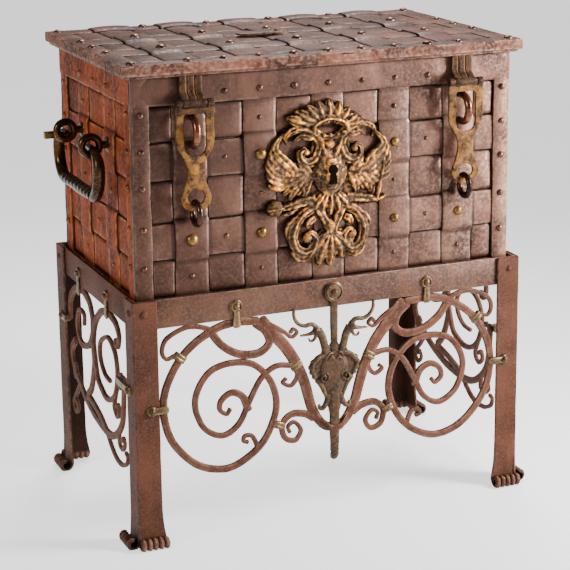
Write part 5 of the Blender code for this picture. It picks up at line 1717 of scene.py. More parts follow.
    def clip_rail(self, hand: Hand, place: Place) -> None:
        """Hang a front scroll from the rail, by a tongue with a round head.

        Args:
            hand: Which scroll.
            place: Puts (across, out, up) into the frame.
        """
        node = f"rail_clip_{hand.word}"
        x = hand.sign * self.rail_clip_x
        heights = (RAIL_CLIP_Z + 0.004, RAIL_CLIP_Z - 0.012, RAIL_BOTTOM_Z + 0.002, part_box(node)[0].z + 0.004)
        forge = Forge(0.0004)
        forge.bar([Vector((x, z)) for z in heights], (0.012, 0.010, 0.012, 0.015), (CLEAR, CLEAR + 0.0042),
                  place, 0.7, 16)
        forge.knob(place(x, CLEAR, RAIL_CLIP_Z), TO_VIEWER, (0.0115, 0.0034), 0.0030, (0.0060, 0.0046))
        ring = circle(place(x, CLEAR + 0.0030, RAIL_CLIP_Z), 0.0088 * ACROSS, 0.0088 * UP, 28)
        forge.hoop(ring, 0.0016, 10)
        self.shop.forged(node, forge, "clip_iron")

    def clip_leg(self, hand: Hand) -> None:
        """Hold a front scroll at its side, by a tongue riveted on a leg.

        Args:
            hand: Which scroll.
        """
        node = f"leg_clip_{hand.word}"
        low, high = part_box(node)
        s, z = hand.sign, 0.5 * (low.z + high.z)
        edge = STAND_HALF_W - LEG_W
        head = edge + self.clip_head_in
        place = front_place(-(STAND_HALF_D + CLEAR))
        tongue = [Vector((s * x, z)) for x in (head + 0.004, head - 0.006, edge, edge - 0.008, edge - 0.0125)]
        lap = [Vector((s * x, z)) for x in (edge - 0.0006, edge - 0.012)]
        forge = Forge(0.0004)
        forge.bar(tongue, (0.013, 0.012, 0.0125, 0.014, 0.0135), (0.0, 0.0042), place, 0.6, 16)
        forge.bar(lap, (0.0125, 0.0125), (-0.0052, 0.0030), place, 0.4)
        forge.knob(place(s * head, 0, z), TO_VIEWER, (0.0098, 0.0046), 0.0042, (0.0056, 0.0042))
        self.shop.forged(node, forge, "clip_iron")

    def build_sides(self) -> None:
        """Build the side panels with their clips."""
        for hand in Hand:
            place = side_place(hand, STAND_HALF_W - LEG_T - CLEAR)
            scroll, clips = Forge(0.0007), Forge(0.0004)
            ScrollPanel(place).lay(scroll, self.side_bars)
            for y in self.side_rail_clips_y:
                self.clip_side_rail(clips, hand, place, y)
            for end, drop, reach in self.side_leg_clips:
                self.clip_side_leg(clips, hand, place, end, RAIL_BOTTOM_Z - drop, reach)
            node = f"side_scroll_{hand.word}"
            self.shop.forged(node, scroll, "stand_iron")
            self.shop.trim(f"{node}_clips", clips, "clip_iron", "stand", "clip_iron")

    def clip_side_rail(self, forge: Forge, hand: Hand, place: Place, y: float) -> None:
        """Hang a side panel from its rail.

        Args:
            forge: Collects the clip.
            hand: Which panel.
            place: Puts (across, out, up) into the frame.
            y: The clip's place along the rail.
        """
        tongue = [Vector((y, RAIL_BOTTOM_Z + up)) for up in (0.030, 0.006, -0.015)]
        forge.bar(tongue, (0.012, 0.0115, 0.014), (CLEAR, 0.0042), place, 0.7)
        forge.block(place(y, -0.0002, RAIL_BOTTOM_Z - 0.0085), (0.0042, 0.0065, 0.0070), 0.0015)
        forge.knob(place(y, CLEAR, RAIL_CLIP_Z), hand.sign * ACROSS, (0.0100, 0.0046), 0.0040,
                   (0.0056, 0.0040))

    def clip_side_leg(self, forge: Forge, hand: Hand, place: Place, end: int, z: float, reach: float) -> None:
        """Hold a side panel at a leg.

        Args:
            forge: Collects the clip.
            hand: Which panel.
            place: Puts (across, out, up) into the frame, on the panel.
            end: -1 for the front leg, 1 for the back one.
            z: The clip's height.
            reach: How far it reaches past the leg.
        """
        outside = side_place(hand, STAND_HALF_W + CLEAR)
        edge = STAND_HALF_D - LEG_W
        head = edge + self.clip_head_in
        lap = [Vector((end * y, z)) for y in (head + 0.004, edge, edge - reach)]
        forge.bar(lap, (0.0125, 0.0120, 0.0130), (0.0, 0.0040), outside, 0.6)
        forge.block(place(end * (edge - reach / 2 - 0.0004), 0.0030, z),
                    (0.0050, reach / 2 - 0.0006, 0.0060), 0.0012)
        forge.knob(outside(end * head, 0, z), hand.sign * ACROSS, (0.0094, 0.0046), 0.0040, (0.0054, 0.0040))


# Relief

# How full the back of a stroke is, and how many folds run along it
LEAF = (0.9, 2)
BROAD_LEAF = (0.9, 3)
CURL = (0.8, 3)
WEB = (0.2, 1)


class Relief:
    """Chased and cast ornament in millimetres, built up from strokes that stand on a plane."""

    def __init__(self, place: Place, rough: float = 0.0) -> None:
        """Start with an empty plane.

        Args:
            place: Puts (across, out, up) into the frame.
            rough: How uneven hand work leaves the strokes.
        """
        self.place = place
        self.forge = Forge(rough)
        self.side = 1

    def sides(self) -> Iterator[int]:
        """Turn to the left side, where all that is laid is mirrored, and then to the right one.

        Returns:
            The sign of each side.
        """
        for side in (-1, 1):
            self.side = side
            yield side

    def at(self, across: float, out: float, up: float) -> Vector:
        """Put a point in millimetres into the frame."""
        return self.place(across * MM, out * MM, up * MM)

    def stroke(self, points: Sequence[Pair], widths: Sequence[float], heights: Sequence[float],
               ridge: float = 0.75, folds: int = 1, steps: int = 6) -> None:
        """Lay one leaf, feather or scroll.

        Args:
            points: Its middle line.
            widths: Its width at start, middle and end.
            heights: Its height above the plane at start, middle and end.
            ridge: How full its back is, from 1 (a ridge) to 0 (flat).
            folds: Number of folds that run along it.
            steps: Steps between points.
        """
        path = smooth_through([(self.side * a, b) for a, b in points], steps)
        lanes = 8 * folds
        rings = []
        for i, (point, _, normal) in enumerate(framed(path)):
            width, height = (self.along(values, i / (len(path) - 1)) for values in (widths, heights))
            ring = []
            for k in range(lanes + 1):
                angle = math.pi * k / lanes
                flat = point + normal * width / 2 * math.cos(angle)
                valley = 0.5 + 0.5 * math.cos(2 * folds * angle) if folds > 1 else 0.0
                lift = height * (0.25 + 0.75 * math.sin(angle) ** ridge) * (1 - 0.24 * valley)
                ring.append(self.at(flat[0], lift, flat[1]))
            for foot in (point - normal * width / 2, point + normal * width / 2):
                ring.append(self.at(foot[0], 0.0, foot[1]))
            rings.append(ring)
        self.forge.skin(rings)

    @staticmethod
    def along(values: Sequence[float], share: float) -> float:
        """Read a start, middle and end value at a share of the way."""
        start, middle, end = values
        return start + (end - start) * share + (middle - 0.5 * (start + end)) * math.sin(math.pi * share)

    def boss(self, spot: Pair, radius: float, lift: float, height: float) -> None:
        """Set a round boss on the relief.

        Args:
            spot: Its middle.
            radius: Its radius.
            lift: Where it starts above the plane.
            height: Its height.
        """
        across, up = self.side * spot[0], spot[1]
        here = self.at(across, lift, up)
        out = (self.at(across, lift + 1, up) - here).normalized()
        self.forge.dome(here, out, radius * MM, height * MM, 24)

    def volute(self, centre: Pair, radius: float, rounds: float, start_deg: float, width: float,
               height: float) -> None:
        """Lay a scroll that winds in to its eye.

        Args:
            centre: Its eye.
            radius: Its outer radius.
            rounds: How often it winds round.
            start_deg: Where its outer end lies.
            width: Width of its band.
            height: Its height above the plane.
        """
        count = int(10 * rounds) + 4
        points = []
        for i in range(count):
            share = i / (count - 1)
            angle = math.radians(start_deg) + 2 * math.pi * rounds * share
            reach = radius * (1 - 0.80 * share)
            points.append((centre[0] + reach * math.cos(angle), centre[1] + reach * math.sin(angle)))
        self.stroke(points, (width, width * 0.85, width * 0.6), (height * 0.8, height, height), steps=3)
        self.boss(centre, width * 0.62, 0.0, height * 1.1)


@dataclass
class Pendant:
    """The drop in the middle of the front: rosette, stem, two bird heads back to back and a leaf tail."""

    shop: Shop
    place: Place
    thick: float = 0.0035
    half_outline: tuple = (
        (0, -60), (8, -66), (12, -74), (16, -58), (20, -46), (26, -37), (33, -32), (40, -35), (43, -42),
        (36, -47), (31, -52), (27, -62), (24, -76), (27, -86), (35, -91), (42, -95), (46, -105), (44, -116),
        (37, -128), (28, -138), (21, -149), (16, -164), (13, -178), (10, -192), (0, -194))
    tie_path: tuple = ((-31, -200), (-27, -206), (-12, -218), (0, -220), (12, -218), (27, -206), (31, -200))

    def build(self) -> None:
        """Build the pendant as one chased piece, with its rosette and its tie."""
        relief = Relief(lambda a, o, u: self.place(a, o + CLEAR, RAIL_BOTTOM_Z + u))
        outline = mirrored(hung(self.half_outline))
        relief.forge.plate([outline], (CLEAR, CLEAR + self.thick), self.place, 0.0010)
        relief.stroke([(0, 18), (0, -40), (0, -92)], (15, 14, 12), (4.6, 4.8, 6), 0.3)
        relief.stroke([(0, -80), (0, -112), (0, -156)], (26, 54, 30), (6.5, 8, 6.5), 0.6)
        relief.stroke([(0, -142), (0, -166), (0, -196)], (30, 25, 19), (7, 7, 6), 0.7)
        relief.stroke([(0, -184), (0, -226), (0, -275)], (19, 18.5, 15), (6, 6.2, 5.6), 0.5)
        relief.boss((0, -274), 7.6, 0, 5.0)
        for z in (-238, -252, -266):
            relief.stroke([(-8, z - 5), (0, z), (8, z + 5)], (3.0, 3.4, 3.0), (5.5, 7.6, 5.5))
        relief.boss((0, 27), 15.5, 0, 4.0)
        for _ in relief.sides():
            self.half(relief)
        mesh = cast(relief.forge.mesh("pendant"), 0.0010, 3, 0.8, 0.0004)
        self.shop.piece("front_pendant_chased", mesh, "chased_iron", ["front_pendant"])
        self.dress_rosette()
        self.tie()

    @staticmethod
    def half(relief: Relief) -> None:
        """Lay one side of the pendant.

        Args:
            relief: Collects it.
        """
        relief.stroke([(30, -36), (42, -27), (56, -28), (68, -22), (75, -10), (75, 4)], (9, 7, 5.5),
                      (6, 5.2, 4.6))
        relief.stroke([(35, -41), (48, -44), (64, -45)], (10, 6, 3.8), (6, 5.2, 4))
        relief.stroke([(33, -46), (38, -55), (45, -57), (48, -51)], (7, 4.6, 3.4), (5.5, 5, 4))
        relief.stroke([(12, -92), (17, -72), (22, -52), (30, -38)], (15, 13, 14), (6.5, 7, 7), 0.6)
        relief.boss((32, -39), 6.5, 3.0, 5.2)
        relief.boss((35, -37), 2.4, 7.0, 2.4)
        relief.stroke([(3, -93), (7, -90), (12, -94)], (3, 6, 3), (9, 10.6, 9))
        relief.stroke([(3, -84), (9, -82), (16, -89)], (3, 4, 3), (8, 9, 8))
        relief.stroke([(14, -84), (28, -88), (39, -97), (43, -108), (36, -124)], (9, 10, 8), (6, 7, 6))
        for bead in ((41, -96), (45, -105), (43, -114), (38, -123), (31, -132)):
            relief.boss(bead, 4.8, 1.5, 4.8)
        relief.volute((21, -126), 9.5, 1.3, 120, 3.2, 10.4)
        relief.stroke([(32, -128), (24, -142), (18, -156), (12, -172)], (12, 8, 6), (6, 6.6, 6))
        relief.stroke([(11, -158), (15, -172), (22, -182), (28, -181), (29, -174)], (11, 9, 5), (6.4, 6, 4.6))

    def tie(self) -> None:
        """Lay the band where the two scrolls meet, over the front of the tail."""
        def bent(across: float, out: float, up: float) -> Vector:
            """Put a point into the frame, further back beside the tail."""
            return self.place(across, out - 0.0090 * eased((abs(across) - 0.011) / 0.017), up)

        path = smooth_through(hung(self.tie_path), 6)
        forge = Forge(0.0004)
        forge.bar(path, [SCROLL_W] * len(path), (0.0004, 0.0092), bent)
        self.shop.trim("scroll_tie", forge, "stand_iron", "stand", "stand_iron")

    def dress_rosette(self) -> None:
        """Set the bright round boss on the rail at the pendant's head."""
        forge = Forge(0.0003)
        centre = self.place(0, 0.0042, RAIL_BOTTOM_Z + 0.027)
        forge.dome(centre, TO_VIEWER, 0.0172, 0.0024, 36)
        forge.hoop(circle(centre + TO_VIEWER * 0.0016, 0.0140 * ACROSS, 0.0140 * UP, 36), 0.0018, 10)
        forge.dome(centre + TO_VIEWER * 0.0018, TO_VIEWER, 0.0066, 0.0072, 26)
        self.shop.trim("pendant_rosette", forge, "clip_iron", "stand", "clip_iron")


@dataclass
class Escutcheon:
    """The gilt cartouche on the front: a crowned eagle with two heads, in scrolls and leaves."""

    shop: Shop
    middle_drop: float = 0.145
    wing_spread: Pair = (1.0, 0.93)
    curl_stretch: Pair = (0.94, 0.82)
    keyhole_r: float = 0.0085

    def build(self) -> None:
        """Cast the cartouche."""
        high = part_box("escutcheon")[1]
        middle = high.z - self.middle_drop
        relief = Relief(lambda a, o, u: Vector((a, high.y - o, middle + u)), 0.0016)
        self.crown(relief)
        for _, spread, stretch in zip(relief.sides(), self.wing_spread, self.curl_stretch):
            self.ground(relief)
            self.wing(relief, spread)
            self.head(relief)
            self.lower_scrolls(relief, stretch)
        self.breast(relief)
        self.hands(relief)
        mesh = cast(relief.forge.mesh("cartouche"), 0.00130, 1, 0.8, 0.0011)
        # grime and painted shade on the cartouche's low ground
        soil_low(mesh, high.y, 0.0040, 0.0095)
        self.shop.piece("escutcheon_cast", mesh, "gilt", ["escutcheon"])
        self.keyhole(high.y, middle)

    @staticmethod
    def ground(relief: Relief) -> None:
        """Lay one side of the casting's low web, from which leaves and feathers rise.

        Args:
            relief: Collects it.
        """
        relief.stroke([(14, 84), (20, 30), (20, -36)], (34, 46, 34), (6, 7, 6), *WEB)
        relief.stroke([(30, 14), (62, 14), (96, 26)], (56, 62, 40), (7, 7, 5), *WEB)
        relief.stroke([(14, -34), (46, -34), (74, -36)], (24, 20, 12), (6, 6, 5), *WEB)
        relief.stroke([(6, -84), (16, -108), (24, -128)], (26, 42, 22), (6, 6, 5), *WEB)
        relief.stroke([(8, 112), (34, 114), (56, 104)], (26, 26, 18), (6, 6, 5), *WEB)

    @staticmethod
    def crown(relief: Relief) -> None:
        """Lay a fan of leaves over an open diadem.

        Args:
            relief: Collects it.
        """
        for a, b in ((-80, 120), (62, 104), (-62, 130), (52, 116), (-43, 138), (37, 128), (-23, 144),
                     (19, 140), (-2, 147)):
            up = b - 100
            relief.stroke([(a * 0.34, 100 + up * 0.12), (a * 0.72, 100 + up * 0.60), (a, b)], (14, 22, 7),
                          (8, 14, 7), *BROAD_LEAF)
            relief.stroke([(a * 0.22, 106), (a * 0.44, 104 + up * 0.30), (a * 0.56, 102 + up * 0.50)],
                          (10, 14, 6), (11, 15, 10), *LEAF)
        relief.stroke([(-32, 90), (-29, 104), (-15, 112), (-2, 114), (12, 112), (26, 104), (30, 90)],
                      (8, 6, 8), (15, 16.5, 15))
        relief.stroke([(-34, 91), (-17, 83), (-1, 81), (15, 83), (31, 91)], (10, 11, 10), (13, 14, 13), *LEAF)
        for a in (-24, -12, 0, 12, 24):
            relief.boss((a - 1, 84 + 0.009 * a * a), 3.4, 9, 7)

    @staticmethod
    def head(relief: Relief) -> None:
        """Lay one neck and head, turned outwards over a large curl, with leaves along its back.

        Args:
            relief: Collects it.
        """
        relief.stroke([(6, 46), (14, 62), (20, 80), (34, 93), (56, 99), (80, 90)], (22, 22, 8), (12, 14, 8),
                      *CURL)
        relief.stroke([(54, 97), (70, 98), (82, 88), (79, 74)], (12, 11, 4), (10, 10, 6), *LEAF)
        relief.stroke([(18, 82), (20, 62), (29, 45), (43, 40), (54, 47), (55, 60), (46, 65)], (20, 18, 9),
                      (11, 14, 12), *CURL)
        relief.boss((46, 59), 6.0, 5, 9)
        relief.stroke([(24, 86), (40, 84), (54, 86), (68, 78)], (12, 12, 4), (11, 12, 6), *LEAF)
        relief.stroke([(18, 64), (12, 56), (14, 46)], (12, 12, 6), (11, 13, 9), *LEAF)

    @staticmethod
    def wing(relief: Relief, spread: float) -> None:
        """Lay a spread wing: long feathers that stand apart at their tips, and two rows of short ones.

        Args:
            relief: Collects it.
            spread: Length of the long feathers, as a share of their full length.
        """
        for tip in ((86, 95), (102, 78), (113, 58), (118, 44), (116, 26), (111, 9)):
            a, b = spread * tip[0], spread * tip[1]
            relief.stroke([(62, 8 + 0.10 * b), (0.55 * a + 30, 0.42 * b), (0.3 * a + 76, 0.72 * b), (a, b)],
                          (14, 17, 4), (9, 13, 6), *LEAF)
        for a, b in ((80, 48), (94, 36), (98, 20), (97, 2), (88, -12), (76, -22)):
            relief.stroke([(54, 12), (0.5 * (a + 54) + 3, 0.5 * (b + 12) + 2), (a, b)], (14, 18, 6),
                          (10, 14, 7), *LEAF)
        for a, b in ((60, 42), (74, 30), (78, 14), (74, -2), (64, -14), (50, -20)):
            relief.stroke([(36, 18), (0.5 * (a + 36) + 2, 0.5 * (b + 18) + 2), (a, b)], (14, 18, 7),
                          (11, 15, 9), *LEAF)

    @staticmethod
    def breast(relief: Relief) -> None:
        """Lay the domed shield with its keyhole frame, the leaves below it and the leaf at the foot.

        Args:
            relief: Collects it.
        """
        relief.stroke([(-3, 56), (-3, 20), (-3, -22)], (24, 66, 18), (11, 19, 11))
        relief.stroke([(-1, 46), (-1, 20), (-1, -7)], (16, 26, 17), (18.5, 21.5, 18), *WEB)
        relief.boss((-2, 70), 9.0, 6, 11)
        for a, b in ((-30, -46), (30, -46), (-15, -54), (15, -54), (0, -54)):
            relief.stroke([(a * 0.4, -18), (a * 0.9, -34), (a, b)], (14, 18, 6), (11, 14.5, 8), *BROAD_LEAF)
        relief.boss((-3, -70), 9.0, 5, 11)
        for a, b in ((-42, -131), (38, -124), (-22, -140), (20, -135), (-2, -144)):
            relief.stroke([(a * 0.2, -90), (a * 0.8, -90 + (b + 90) * 0.55), (a, b)], (16, 24, 8),
                          (11, 14, 8), *BROAD_LEAF)
            relief.boss((a, b + 4), 6.0, 2, 7)
        for _ in relief.sides():
            relief.stroke([(30, -32), (16, -52), (6, -76), (4, -100)], (18, 15, 12), (11, 13, 11), *LEAF)
            relief.stroke([(6, -86), (17, -99), (31, -105), (44, -99)], (14, 14, 6), (11, 13, 8), *LEAF)

    @staticmethod
    def lower_scrolls(relief: Relief, stretch: float) -> None:
        """Lay a large curl beside the foot's leaf, with leaves on its back.

        Args:
            relief: Collects it.
            stretch: Its width, as a share of its full width.
        """
        curl = ((24, -38), (42, -44), (59, -53), (71, -69), (76, -89), (68, -109), (50, -117), (34, -109),
                (31, -94), (41, -84), (51, -89))
        relief.stroke([(stretch * a, b) for a, b in curl], (17, 18, 9), (11, 14, 12), *CURL)
        relief.boss((stretch * 48, -92), 8.0, 5, 10)
        for leaf in (((56, -54), (74, -60), (86, -74), (84, -92)),
                     ((72, -102), (70, -119), (55, -129), (38, -125)), ((30, -58), (42, -64), (48, -76))):
            relief.stroke([(stretch * a, b) for a, b in leaf], (12, 14, 5), (10, 12, 7), *LEAF)

    @staticmethod
    def hands(relief: Relief) -> None:
        """Lay the orb in the left claw and the sword in the right one.

        Args:
            relief: Collects them.
        """
        relief.stroke([(-30, -26), (-54, -28), (-76, -33), (-94, -36)], (20, 16, 9), (12, 13, 9), *LEAF)
        relief.stroke([(-64, -38), (-78, -46), (-92, -47)], (9, 8, 4), (9, 10, 7))
        relief.boss((-102, -34), 15.0, 0, 14)
        relief.stroke([(-116, -36), (-102, -33), (-88, -34)], (3.6, 3.6, 3.6), (11, 16, 11))
        relief.stroke([(30, -26), (52, -29), (72, -33), (88, -36)], (20, 16, 10), (12, 13, 10), *LEAF)
        relief.stroke([(86, -40), (93, -4), (100, 32), (107, 64)], (7.5, 7.5, 3), (12, 13, 8), 0.9)
        relief.stroke([(74, -33), (89, -36), (104, -30)], (6.5, 6.5, 6.5), (12, 13, 12))

    def keyhole(self, back_y: float, middle: float) -> None:
        """Set a black plate into the blind keyhole's frame on the shield, as painted shade for the keyhole's dark
        inside.

        Args:
            back_y: The plane that the cartouche stands on.
            middle: Height of the cartouche's middle.
        """
        radius, foot = self.keyhole_r, middle + 0.002
        angles = [math.radians(-52 + 284 * k / 24) for k in range(25)]
        slot = [(-0.001 + radius * math.cos(a), middle + 0.027 + radius * math.sin(a)) for a in angles]
        slot += [(-0.0085, foot), (0.0065, foot)]
        forge = Forge(0.0)
        forge.plate([slot], (0.0120, 0.0219), front_place(back_y), 0.0003, 0.0)
        self.shop.trim("blind_keyhole", forge, "keyhole_painted_shade", "chest", "gilt")


# Fittings that move


@dataclass
class Hasps:
    """Hasp straps on the lid, hasps, their staples and pull rings."""

    shop: Shop
    half_w: float = 0.0335
    slot_half_w: float = 0.019
    thick: float = 0.005
    length: float = 0.1795
    eye_drop: float = 0.157
    eye_half: Pair = (0.015, 0.013)
    barrel_r: float = 0.0068
    barrel_shoulder: float = 0.0012
    knuckle_w: float = 0.012
    pin_r: float = 0.0030
    tongue_pitch: float = 0.0135
    tongue_half_w: float = 0.0064
    tongue_t: float = 0.0052
    staple_r: float = 0.0060
    staple_stout: float = 1.12
    ring_r: float = 0.0048
    ring_swell: float = 0.0014

    def build(self) -> None:
        """Build both sets."""
        for hand in Hand:
            pivot = Vector(JOINTS[f"hasp_{hand.word}_swing"]["pos_m"])
            self.strap(f"hasp_strap_{hand.word}", pivot)
            self.hasp(hand, pivot)
            self.staple(f"staple_{hand.word}")
            self.ring(f"pull_ring_{hand.word}")

    def strap(self, node: str, pivot: Vector) -> None:
        """Forge three tongues from the lid's rim down to the barrel that the hasp swings on.

        Args:
            node: The solid.
            pivot: Where the hasp swings.
        """
        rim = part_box("lid_rim")[0].y + 0.005
        path = smooth_through([(rim + 0.0028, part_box(node)[1].z - 0.0006), (rim + 0.0026, pivot.z + 0.030),
                               (rim + 0.0020, pivot.z + 0.016), (pivot.y + 0.0040, pivot.z + 0.006),
                               (pivot.y + 0.0010, pivot.z)], 5)
        forge = Forge(0.0004)
        for x in (pivot.x + offset for offset in spaced(3, self.tongue_pitch)):
            forge.bar(path, [self.tongue_t] * len(path), (x - self.tongue_half_w, x + self.tongue_half_w),
                      lambda a, o, u: Vector((o, a, u)), 0.55, 16)
        inner, outer = self.half_w - self.knuckle_w - CLEAR, self.half_w + 0.0005
        self.barrel(forge, pivot, -inner, inner, self.barrel_r)
        self.barrel(forge, pivot, -outer, outer, self.pin_r)
        self.shop.forged(node, forge, "hasp_gilt")

    def barrel(self, forge: Forge, pivot: Vector, start: float, end: float, radius: float) -> None:
        """Forge a stretch of the hinge's barrel.

        Args:
            forge: Collects it.
            pivot: Where the hasp swings.
            start: Where it starts, beside the pivot.
            end: Where it ends, beside the pivot.
            radius: Its radius.
        """
        shoulder = self.barrel_shoulder
        mids = [start + (end - start) * i / 6 for i in range(1, 6)]
        path = [pivot + x * ACROSS for x in (start, start + shoulder, *mids, end - shoulder, end)]
        forge.tube(path, [radius * 0.82, *[radius] * (len(path) - 2), radius * 0.82], sides=24)

    def hasp(self, hand: Hand, pivot: Vector) -> None:
        """Forge the swinging hasp with its long slot, waist and eye.

        Args:
            hand: Which hasp.
            pivot: Where it swings.
        """
        waist = smooth_through([(0.0335, 0.044), (0.0335, 0.060), (0.031, 0.074), (0.022, 0.089),
                                (0.0155, 0.104), (0.015, 0.119), (0.019, 0.136), (0.026, 0.154),
                                (0.026, 0.164), (0.0205, 0.173), (0.0105, 0.1785), (0.0, self.length)], 4)
        half = [(0.0, 0.0075), (self.half_w, 0.0075), *waist]
        slot_w = self.slot_half_w
        half_slot = [(slot_w - 0.003, 0.0172), (slot_w, 0.0210), (slot_w, 0.072), (0.0165, 0.0805),
                     (0.0105, 0.0862), (0.0, 0.088)]
        outlines = [[(pivot.x + a, pivot.z - b) for a, b in mirrored(side)] for side in (half, half_slot)]
        eye_w, eye_h = self.eye_half
        outlines.append([(pivot.x + eye_w * math.cos(a), pivot.z - self.eye_drop + eye_h * math.sin(a))
                         for a in turns(28)])
        forge = Forge(0.0004)
        forge.plate(outlines, (-self.thick / 2, self.thick / 2), front_place(pivot.y), 0.0016, 0.9)
        for sign in (-1, 1):
            start, end = sorted((sign * (self.half_w - self.knuckle_w), sign * self.half_w))
            middle = pivot + Vector((0.5 * (start + end), 0, -0.0075))
            self.barrel(forge, pivot, start + 0.0002, end, self.barrel_r)
            forge.block(middle, (0.0058, 0.0024, 0.0050), 0.0008)
        if hand is Hand.LEFT:
            forge.block(pivot + Vector((0, -0.0005, -0.0124)), (self.half_w + 0.0012, 0.0037, 0.0048), 0.0012)
        self.shop.forged(f"hasp_{hand.word}", forge, "hasp_gilt")

    def staple(self, node: str) -> None:
        """Forge a polished staple that stands through the hasp's slot.

        Args:
            node: The solid.
        """
        low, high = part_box(node)
        middle = 0.5 * (low + high)
        half = 0.5 * (high.z - low.z) - self.staple_r
        bend = low.y + self.staple_r + half
        halfway = 0.5 * (high.y + bend)
        path = [(high.y, half), (halfway, half)]
        angles = [math.pi * k / 22 for k in range(23)]
        path += [(bend - half * math.sin(a), half * math.cos(a)) for a in angles]
        path += [(halfway, -half), (-CHEST_HALF_D - CLEAR, -half)]
        forge = Forge(0.0003)
        forge.tube([Vector((middle.x, y, middle.z + up)) for y, up in path],
                   [self.staple_r * self.staple_stout] * len(path), sides=22)
        self.shop.forged(node, forge, "red_steel")

    def ring(self, node: str) -> None:
        """Forge a pull ring in the hasp's eye, thicker where it hangs.

        Args:
            node: The solid.
        """
        low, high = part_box(node)
        radius = 0.5 * (high.z - low.z) - 0.004
        path = circle(0.5 * (low + high), -radius * TO_VIEWER, radius * UP, 40)
        forge = Forge(0.0003)
        radii = [self.ring_r + self.ring_swell * max(0.0, -math.sin(a)) for a in turns(40)]
        forge.tube(path, radii, True, 20)
        self.shop.forged(node, forge, "dark_steel")


@dataclass
class Handles:
    """Drop handles with a twisted grip, in eyes on the chest's sides."""

    shop: Shop
    pin_r: float = 0.0055
    arm_r: float = 0.0104
    grip_r: float = 0.0102
    grip_steps: int = 96
    grip_beads: float = 8.5
    eye_r: float = 0.0155
    eye_bar_r: float = 0.0065

    def build(self) -> None:
        """Build both handles and their eyes."""
        for hand in Hand:
            self.bail(hand, Vector(JOINTS[f"handle_{hand.word}_swing"]["pos_m"]))
            for end in ("front", "back"):
                self.eye(f"handle_eye_{hand.word}_{end}", hand.sign)

    def bail(self, hand: Hand, pivot: Vector) -> None:
        """Forge a drop handle: slim pins, full crescent arms and a twisted grip.

        Args:
            hand: Which handle.
            pivot: Where it swings.
        """
        node = f"handle_{hand.word}"
        low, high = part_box(node)
        wide = -low.y - 0.010
        deep = pivot.z - low.z - 0.010
        eye_low, eye_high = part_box(f"handle_eye_{hand.word}_back")
        eye_at = 0.5 * (eye_low.y + eye_high.y)
        pin_end = eye_at + self.eye_bar_r + 0.004
        bow = wide - pin_end
        arm = smooth_through([(pin_end, 0), (wide - 0.2 * bow, -0.16 * deep), (wide, -0.40 * deep),
                              (wide - 0.18 * bow, -0.75 * deep), (wide - 0.72 * bow, -0.98 * deep),
                              (wide - 1.2 * bow, -deep)], 8)
        side = [(eye_at - self.eye_bar_r - 0.006, 0), (eye_at, 0), *arm]
        swell = [self.pin_r, self.pin_r]
        swell += [self.pin_r + (self.arm_r - self.pin_r) * math.sin(min(1.0, i / 16) * math.pi / 2)
                  - 0.0012 * max(0.0, (i - 30) / 10) for i in range(len(arm))]
        forge = Forge(0.0003)
        for sign in (-1, 1):
            forge.tube([Vector((pivot.x, sign * a, pivot.z + b)) for a, b in side], swell, sides=22)
        half = wide - 1.2 * bow + 0.004
        shares = [i / self.grip_steps for i in range(self.grip_steps + 1)]
        grip = [Vector((pivot.x, half * (1 - 2 * share), pivot.z - deep)) for share in shares]
        beads = [abs(math.sin(math.pi * self.grip_beads * share)) for share in shares]
        radii = [self.grip_r * (0.93 + 0.13 * bead) for bead in beads]
        forge.tube(grip, radii, sides=26, ribs=3, twist=0.10, rib_depth=0.05)
        tip = low.x if hand is Hand.LEFT else high.x
        forge.block(Vector((0.5 * (pivot.x + tip), pin_end + 0.005, pivot.z - 0.006)),
                    (0.5 * abs(tip - pivot.x), 0.0052, 0.0062), 0.0012)
        self.shop.forged(node, forge, "handle_bronze")

    def eye(self, node: str, sign: int) -> None:
        """Forge an eye on a round plate, riveted through the chest's side.

        Args:
            node: The solid.
            sign: Sign of X on that side.
        """
        low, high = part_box(node)
        wall, outer = (high.x, low.x) if sign < 0 else (low.x, high.x)
        bar = self.eye_bar_r
        middle = 0.5 * (low + high)
        centre = Vector((outer - sign * (self.eye_r + bar), middle.y, middle.z))
        foot = Vector((wall, middle.y, middle.z))
        forge = Forge(0.0003)
        forge.hoop(circle(centre, self.eye_r * ACROSS, self.eye_r * UP, 40), bar, 20)
        length = abs(centre.x - wall) - self.eye_r
        shank = [foot + sign * (0.0005 + length * share) * ACROSS for share in (0, 0.5, 1)]
        forge.tube(shank, [bar * 1.15, bar * 0.98, bar * 0.96], sides=20)
        forge.dome(foot, sign * ACROSS, 0.0143, 0.0042, 28)
        self.shop.forged(node, forge, "handle_bronze")


# Studio


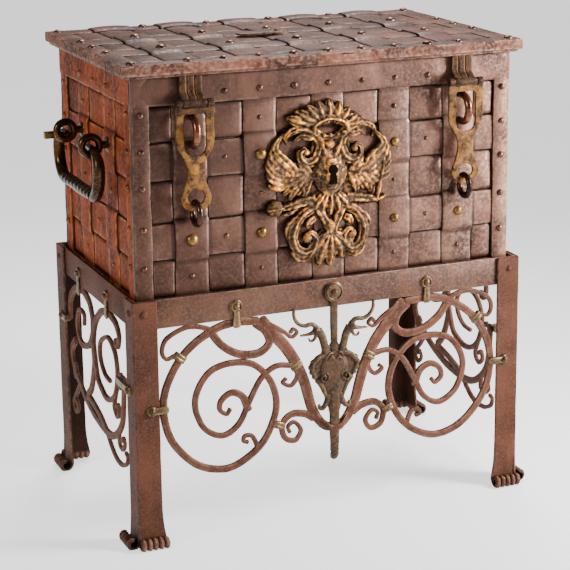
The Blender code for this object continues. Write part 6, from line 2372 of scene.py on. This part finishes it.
@dataclass
class Studio:
    """Floor, light and camera."""

    camera_at: Vector = field(default_factory=lambda: Vector((-1.2661, -3.0562, 1.2954)))
    yaw_deg: float = 24.71
    pitch_deg: float = -13.62
    roll_deg: float = -0.14
    focal_px: float = 1865.7
    photo_px: float = 570.0
    shift: Pair = (-0.12, -0.12)
    floor_reach: float = 60.0
    spread_deg: float = 110.0
    # Name, place, size and watts of each lamp
    lamps: tuple = (("key", (1.35, -0.95, 1.15), 0.5, 37), ("sheen", (1.65, -1.7, 0.45), 0.6, 24),
                    ("fill", (-2.6, -0.9, 1.6), 0.8, 15), ("top", (0.6, 1.1, 2.5), 0.9, 32))

    def build(self) -> None:
        """Set up the studio."""
        self.floor()
        self.light()
        self.camera()

    def floor(self) -> None:
        """Lay a plain pale floor."""
        mesh = bpy.data.meshes.new("floor")
        reach = self.floor_reach
        corners = [(-reach, -reach, 0), (reach, -reach, 0), (reach, reach, 0), (-reach, reach, 0)]
        mesh.from_pydata(corners, [], [(0, 1, 2, 3)])
        material = bpy.data.materials.new("pale_floor")
        material.use_nodes = True
        tree = material.node_tree
        Nodes(tree).feed(tree.nodes["Principled BSDF"], {
            "Base Color": (0.55, 0.55, 0.55), "Roughness": 0.9, "Emission Color": (1, 1, 1),
            "Emission Strength": 1.2})
        mesh.materials.append(material)
        linked("floor", mesh)

    def light(self) -> None:
        """Set soft light from the upper right, with a weaker fill from the left."""
        world = bpy.data.worlds.new("studio")
        world.use_nodes = True
        tree = world.node_tree
        Nodes(tree).feed(tree.nodes["Background"], {"Color": (1, 1, 1), "Strength": 0.18})
        bpy.context.scene.world = world
        for name, spot, size, watts in self.lamps:
            lamp = bpy.data.lights.new(name, "AREA")
            lamp.energy = watts
            lamp.size = size
            lamp.spread = math.radians(self.spread_deg)
            item = linked(name, lamp)
            item.location = spot
            item.rotation_euler = (Vector((0, 0, 0.5)) - Vector(spot)).to_track_quat("-Z", "Y").to_euler()

    def camera(self) -> None:
        """Set a camera at the photograph's place and angle."""
        yaw, pitch, roll = (math.radians(value) for value in (self.yaw_deg, self.pitch_deg, self.roll_deg))
        ahead = Vector((math.sin(yaw) * math.cos(pitch), math.cos(yaw) * math.cos(pitch), math.sin(pitch)))
        right = Vector((math.cos(yaw), -math.sin(yaw), 0))
        above = right.cross(ahead)
        rolled_right = right * math.cos(roll) + above * math.sin(roll)
        rolled_above = above * math.cos(roll) - right * math.sin(roll)
        data = bpy.data.cameras.new("camera")
        data.sensor_width = 36.0
        data.lens = self.focal_px / self.photo_px * data.sensor_width
        data.shift_x, data.shift_y = self.shift
        turn = Matrix((rolled_right, rolled_above, -ahead)).transposed().to_4x4()
        turn.translation = self.camera_at
        item = linked("camera", data)
        item.matrix_world = turn
        bpy.context.scene.camera = item


def main() -> None:
    """Build the pieces in order, then the studio, and note the sizes."""
    logging.basicConfig(level=logging.INFO, format="%(name)s %(message)s")
    noise.seed_set(FORGE_SEED)
    shop = Shop()
    for assembly in (Stand(shop), Chest(shop), Lid(shop), Escutcheon(shop), Hasps(shop), Handles(shop)):
        assembly.build()
    Studio().build()


if __name__ == "__main__":
    main()
